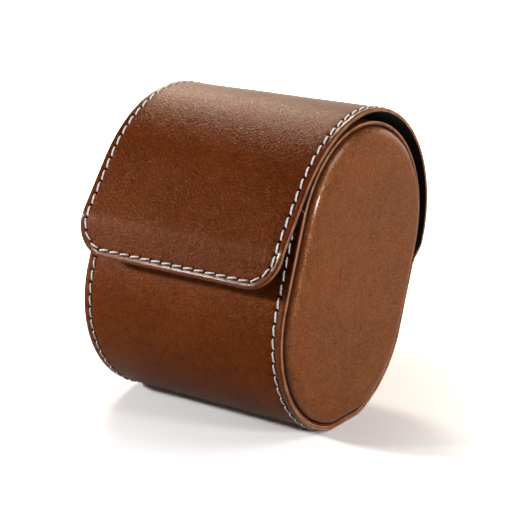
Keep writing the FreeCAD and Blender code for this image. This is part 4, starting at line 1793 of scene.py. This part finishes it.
    def _pinch(self, piece: bpy.types.Object) -> None:
        """Press a seam round each end of the sleeve.

        Args:
            piece: The velvet.
        """
        points = self._points(piece)
        seam = (self.length / 2 - self.undersize - self.seam_in) * MM
        middle = self.section.to_row(np.zeros(1), np.array([self.centre[0]]), np.array([self.centre[1]]))[0]
        away = np.abs(np.abs(points[:, 0]) - seam)
        depth = self.seam_depth * MM * np.exp(-((away / (self.seam_width * MM)) ** 2))
        inwards = middle - points
        inwards[:, 0] = 0
        inwards /= np.maximum(np.linalg.norm(inwards, axis=1), 1e-9)[:, None]
        piece.data.vertices.foreach_set("co", (points + inwards * depth[:, None]).ravel())
        piece.data.update()

    def _piping(self, side: Side) -> None:
        """A thin velvet cord sewn into the seam at one end.

        Args:
            side: The end.
        """
        ring = self._oval(self.undersize + self.draw + self.cord_inset, 40)
        centre = np.array(self.centre)
        ways = ring - centre
        ways /= np.linalg.norm(ways, axis=1)[:, None]
        loops = []
        for angle in np.linspace(0, 2 * math.pi, 10, endpoint=False):
            spots = ring + ways * self.cord_radius * math.cos(angle)
            along = self.length / 2 - self.undersize - self.seam_in
            x = (along + self.cord_radius * math.sin(angle)) * side.value
            loops.append(self.section.to_row(np.full(len(ring), x), spots[:, 0], spots[:, 1]))
        parts = MeshParts()
        numbers = parts.add_points(np.array(loops))
        parts.add_grid(np.concatenate([numbers, numbers[:1]]), round_rows=True)
        piece = parts.build(f"{side.word}_pillow_piping", [self.finishes.pillow_velvet])
        seat(piece, "pillow", "pillow_velvet")


@dataclass(frozen=True)
class Lamp:
    """A square soft lamp aimed at the middle of the case. Sizes are in millimetres.

    Attributes:
        name: The lamp's name.
        azimuth: Where it stands, in degrees anticlockwise from the case's right.
        elevation: How high it stands, in degrees.
        distance: How far it stands from the middle of the case.
        size: Length of its side.
        power: Its power in watts.
        tint: Its colour.
        aim_height: Height of the place that it is aimed at.
    """

    name: str
    azimuth: float
    elevation: float
    distance: float
    size: float
    power: float
    tint: Colour = (1.0, 1.0, 1.0)
    aim_height: float = 50.0

    def hang(self) -> None:
        """Put the lamp in the scene."""
        data = bpy.data.lights.new(self.name, "AREA")
        data.size = self.size * MM
        data.energy = self.power
        data.color = self.tint
        lamp = bpy.data.objects.new(self.name, data)
        turn, rise = math.radians(self.azimuth), math.radians(self.elevation)
        way = Vector((math.cos(turn) * math.cos(rise), math.sin(turn) * math.cos(rise), math.sin(rise)))
        lamp.location = Vector((0.0, 0.0, self.aim_height * MM)) + way * self.distance * MM
        lamp.rotation_euler = way.to_track_quat("Z", "Y").to_euler()
        bpy.context.scene.collection.objects.link(lamp)


WARM = (1.0, 0.84, 0.66)
LAMPS = (
    Lamp("key", -143.0, 21.0, 700.0, 80.0, 3.3),
    Lamp("lip", -128.5, 27.0, 700.0, 50.0, 0.8),
    Lamp("front_low", -124.0, 3.0, 700.0, 200.0, 0.25),
    Lamp("side", 18.0, 38.0, 700.0, 300.0, 1.2),
    Lamp("glint", 0.0, 12.5, 700.0, 110.0, 2.2),
    Lamp("back_right", 78.0, 4.0, 800.0, 400.0, 0.8, WARM),
    Lamp("back_high", 138.0, 37.0, 800.0, 270.0, 3.0, WARM),
    Lamp("back_low", 126.0, 12.0, 800.0, 500.0, 1.2, WARM),
)


@dataclass
class Studio:
    """A white sweep under soft lamps, with the camera where the photograph was taken.

    Sizes are in millimetres.

    Attributes:
        section: The section, whose middle the camera looks at.
        azimuth: Where the camera stands, in degrees from the front of the case.
        elevation: How high it stands, in degrees.
        distance: How far it stands from the middle.
        lens: Its focal length.
        sensor: Width of its sensor.
        aim_right: How far it stands aside.
        aim_up: How far it stands up.
        floor_half: Half the width of the floor.
        floor_dark: The floor's darker tone under the lamps.
        floor_light: The floor's lighter tone under the lamps.
        floor_speck: Size of the patches of those tones.
        mirrored_white: How much of the white that mirrors show.
        seen_extra: What the camera sees of the floor on top of white.
        glow_start: Distance from the middle at which the ground begins to turn white.
        glow_full: Distance at which it is white.
        sweep_level: Brightness round the horizon.
        ceiling: Brightness overhead.
        sweep_low: Height at which the sweep begins to fade, as a share.
        sweep_high: Height at which it has faded.
    """

    section: Section
    azimuth: float = 35.61
    elevation: float = 16.64
    distance: float = 564.5
    lens: float = 117.35
    aim_right: float = 0.45
    aim_up: float = -0.25
    sensor: float = 36.0
    floor_half: float = 3000.0
    floor_dark: float = 0.28
    floor_light: float = 0.31
    floor_speck: float = 40.0
    mirrored_white: float = 0.4
    seen_extra: float = 0.45
    glow_start: float = 44.0
    glow_full: float = 175.0
    sweep_level: float = 0.1
    ceiling: float = 0.03
    sweep_low: float = 0.3
    sweep_high: float = 0.62

    def build(self) -> None:
        """Build the floor, the lamps and the camera."""
        self._floor()
        self._world()
        for lamp in LAMPS:
            lamp.hang()
        self._camera()
        bpy.context.scene.view_settings.view_transform = "Standard"

    def _floor(self) -> None:
        """A white floor that keeps the soft shadow of the case."""
        parts = MeshParts()
        reach = self.floor_half * MM
        places = np.linspace(-reach, reach, 5)
        x, y = np.meshgrid(places, places)
        numbers = parts.add_points(np.stack([x, y, np.zeros_like(x)], axis=-1))
        parts.add_grid(numbers)
        tree = ShaderTree(bpy.data.materials.new("white_floor"))
        seen = tree.node("ShaderNodeLightPath", output="Is Camera Ray")
        mirrored = tree.node("ShaderNodeLightPath", output="Is Glossy Ray")
        through = tree.node("ShaderNodeLightPath", output="Is Transmission Ray")
        specks = tree.noise(self.floor_speck, 2.0).ramp(0.0, 1.0)
        plain = tree.mix(specks, grey(self.floor_dark), grey(self.floor_light))
        plain = tree.mix(seen + mirrored * self.mirrored_white + through, plain, grey(1.0))
        extra = tree.mix(seen, grey(0.0), grey(self.seen_extra))
        # Painted light: the floor glows to the camera, more the further it lies from the case, so its shadow
        # fades out close by.
        away = tree.node("ShaderNodeVectorMath", {"operation": "LENGTH"}, {0: tree.place}, "Value")
        whiter = away.ramp(self.glow_start * MM, self.glow_full * MM)
        glow = tree.node("ShaderNodeEmission", None, {"Strength": seen * whiter})
        layer = tree.node("ShaderNodeBsdfDiffuse", None, {"Color": plain})
        for other in (tree.node("ShaderNodeBsdfDiffuse", None, {"Color": extra}), glow):
            layer = tree.node("ShaderNodeAddShader", None, {0: layer, 1: other})
        tree.node("ShaderNodeOutputMaterial", None, {"Surface": layer})
        parts.build("floor", [tree.owner])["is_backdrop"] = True

    def _world(self) -> None:
        """A white sweep round the horizon under a dim ceiling, and plain white to the camera."""
        tree = ShaderTree(bpy.data.worlds.new("studio"), "Generated")
        bpy.context.scene.world = tree.owner
        height = tree.node("ShaderNodeSeparateXYZ", None, {0: tree.place}, "Z")
        sweep = 1 - height.ramp(self.sweep_low, self.sweep_high)
        seen = tree.node("ShaderNodeLightPath", output="Is Camera Ray")
        level = self.ceiling + sweep * (self.sweep_level - self.ceiling)
        level = tree.node("ShaderNodeMath", {"operation": "MAXIMUM"}, {0: level, 1: seen})
        light = tree.node("ShaderNodeBackground", None, {"Color": grey(1.0), "Strength": level})
        tree.node("ShaderNodeOutputWorld", None, {"Surface": light})

    def _camera(self) -> None:
        """The camera at the photograph's own place."""
        turn, rise = math.radians(self.azimuth), math.radians(self.elevation)
        back = Vector((math.sin(turn) * math.cos(rise), -math.cos(turn) * math.cos(rise), math.sin(rise)))
        right = Vector((math.cos(turn), math.sin(turn), 0))
        up = back.cross(right)
        centre = Vector(self.section.to_row(np.array(0.0), np.array(0.0), np.array(0.0)))
        data = bpy.data.cameras.new("photo_camera")
        data.lens = self.lens
        data.sensor_width = self.sensor
        camera = bpy.data.objects.new("photo_camera", data)
        camera.location = centre + (back * self.distance + right * self.aim_right + up * self.aim_up) * MM
        camera.rotation_euler = (-back).to_track_quat("-Z", "Y").to_euler()
        bpy.context.scene.collection.objects.link(camera)
        bpy.context.scene.camera = camera


def dress_nodes(frame: dict[str, Any], finishes: Finishes) -> None:
    """Finish the pieces that keep their own shape.

    Args:
        finishes: The finishes.
    """
    ends = [side.word for side in Side]
    dress(frame, finishes.board, "body_board", *(f"{word}_end_board" for word in ends))
    dress(frame, finishes.edge, "lid_board")
    dress(frame, finishes.velvet, "body_lining", "lid_lining", *(f"{word}_end_lining" for word in ends))
    snap = ("snap_cup", "snap_cup_stem", "snap_cup_washer", "snap_disc", "snap_disc_washer")
    dress(frame, finishes.steel, *snap)
    dress(frame, finishes.magnet, "snap_magnet")


def corners(box: tuple[Vector, Vector]) -> list[list[float]]:
    """A box as plain lists."""
    return [list(corner) for corner in box]


def main() -> None:
    """Build the looks of the case round its frame."""
    logging.basicConfig(level=logging.INFO, format="%(name)s %(message)s")
    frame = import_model()
    frame_box = corners(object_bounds())
    section = Section()
    finishes = Finishes()
    BodyWrap(section, finishes).build()
    Flap(section, finishes).build()
    Crease(section, finishes).build()
    for side in Side:
        OvalEnd(section, finishes, side).build()
    WatchPillow(section, finishes).build()
    dress_nodes(frame, finishes)
    Studio(section).build()
    bpy.context.view_layer.update()
    {"frame": frame_box, "visual": corners(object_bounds())}


if __name__ == "__main__":
    main()
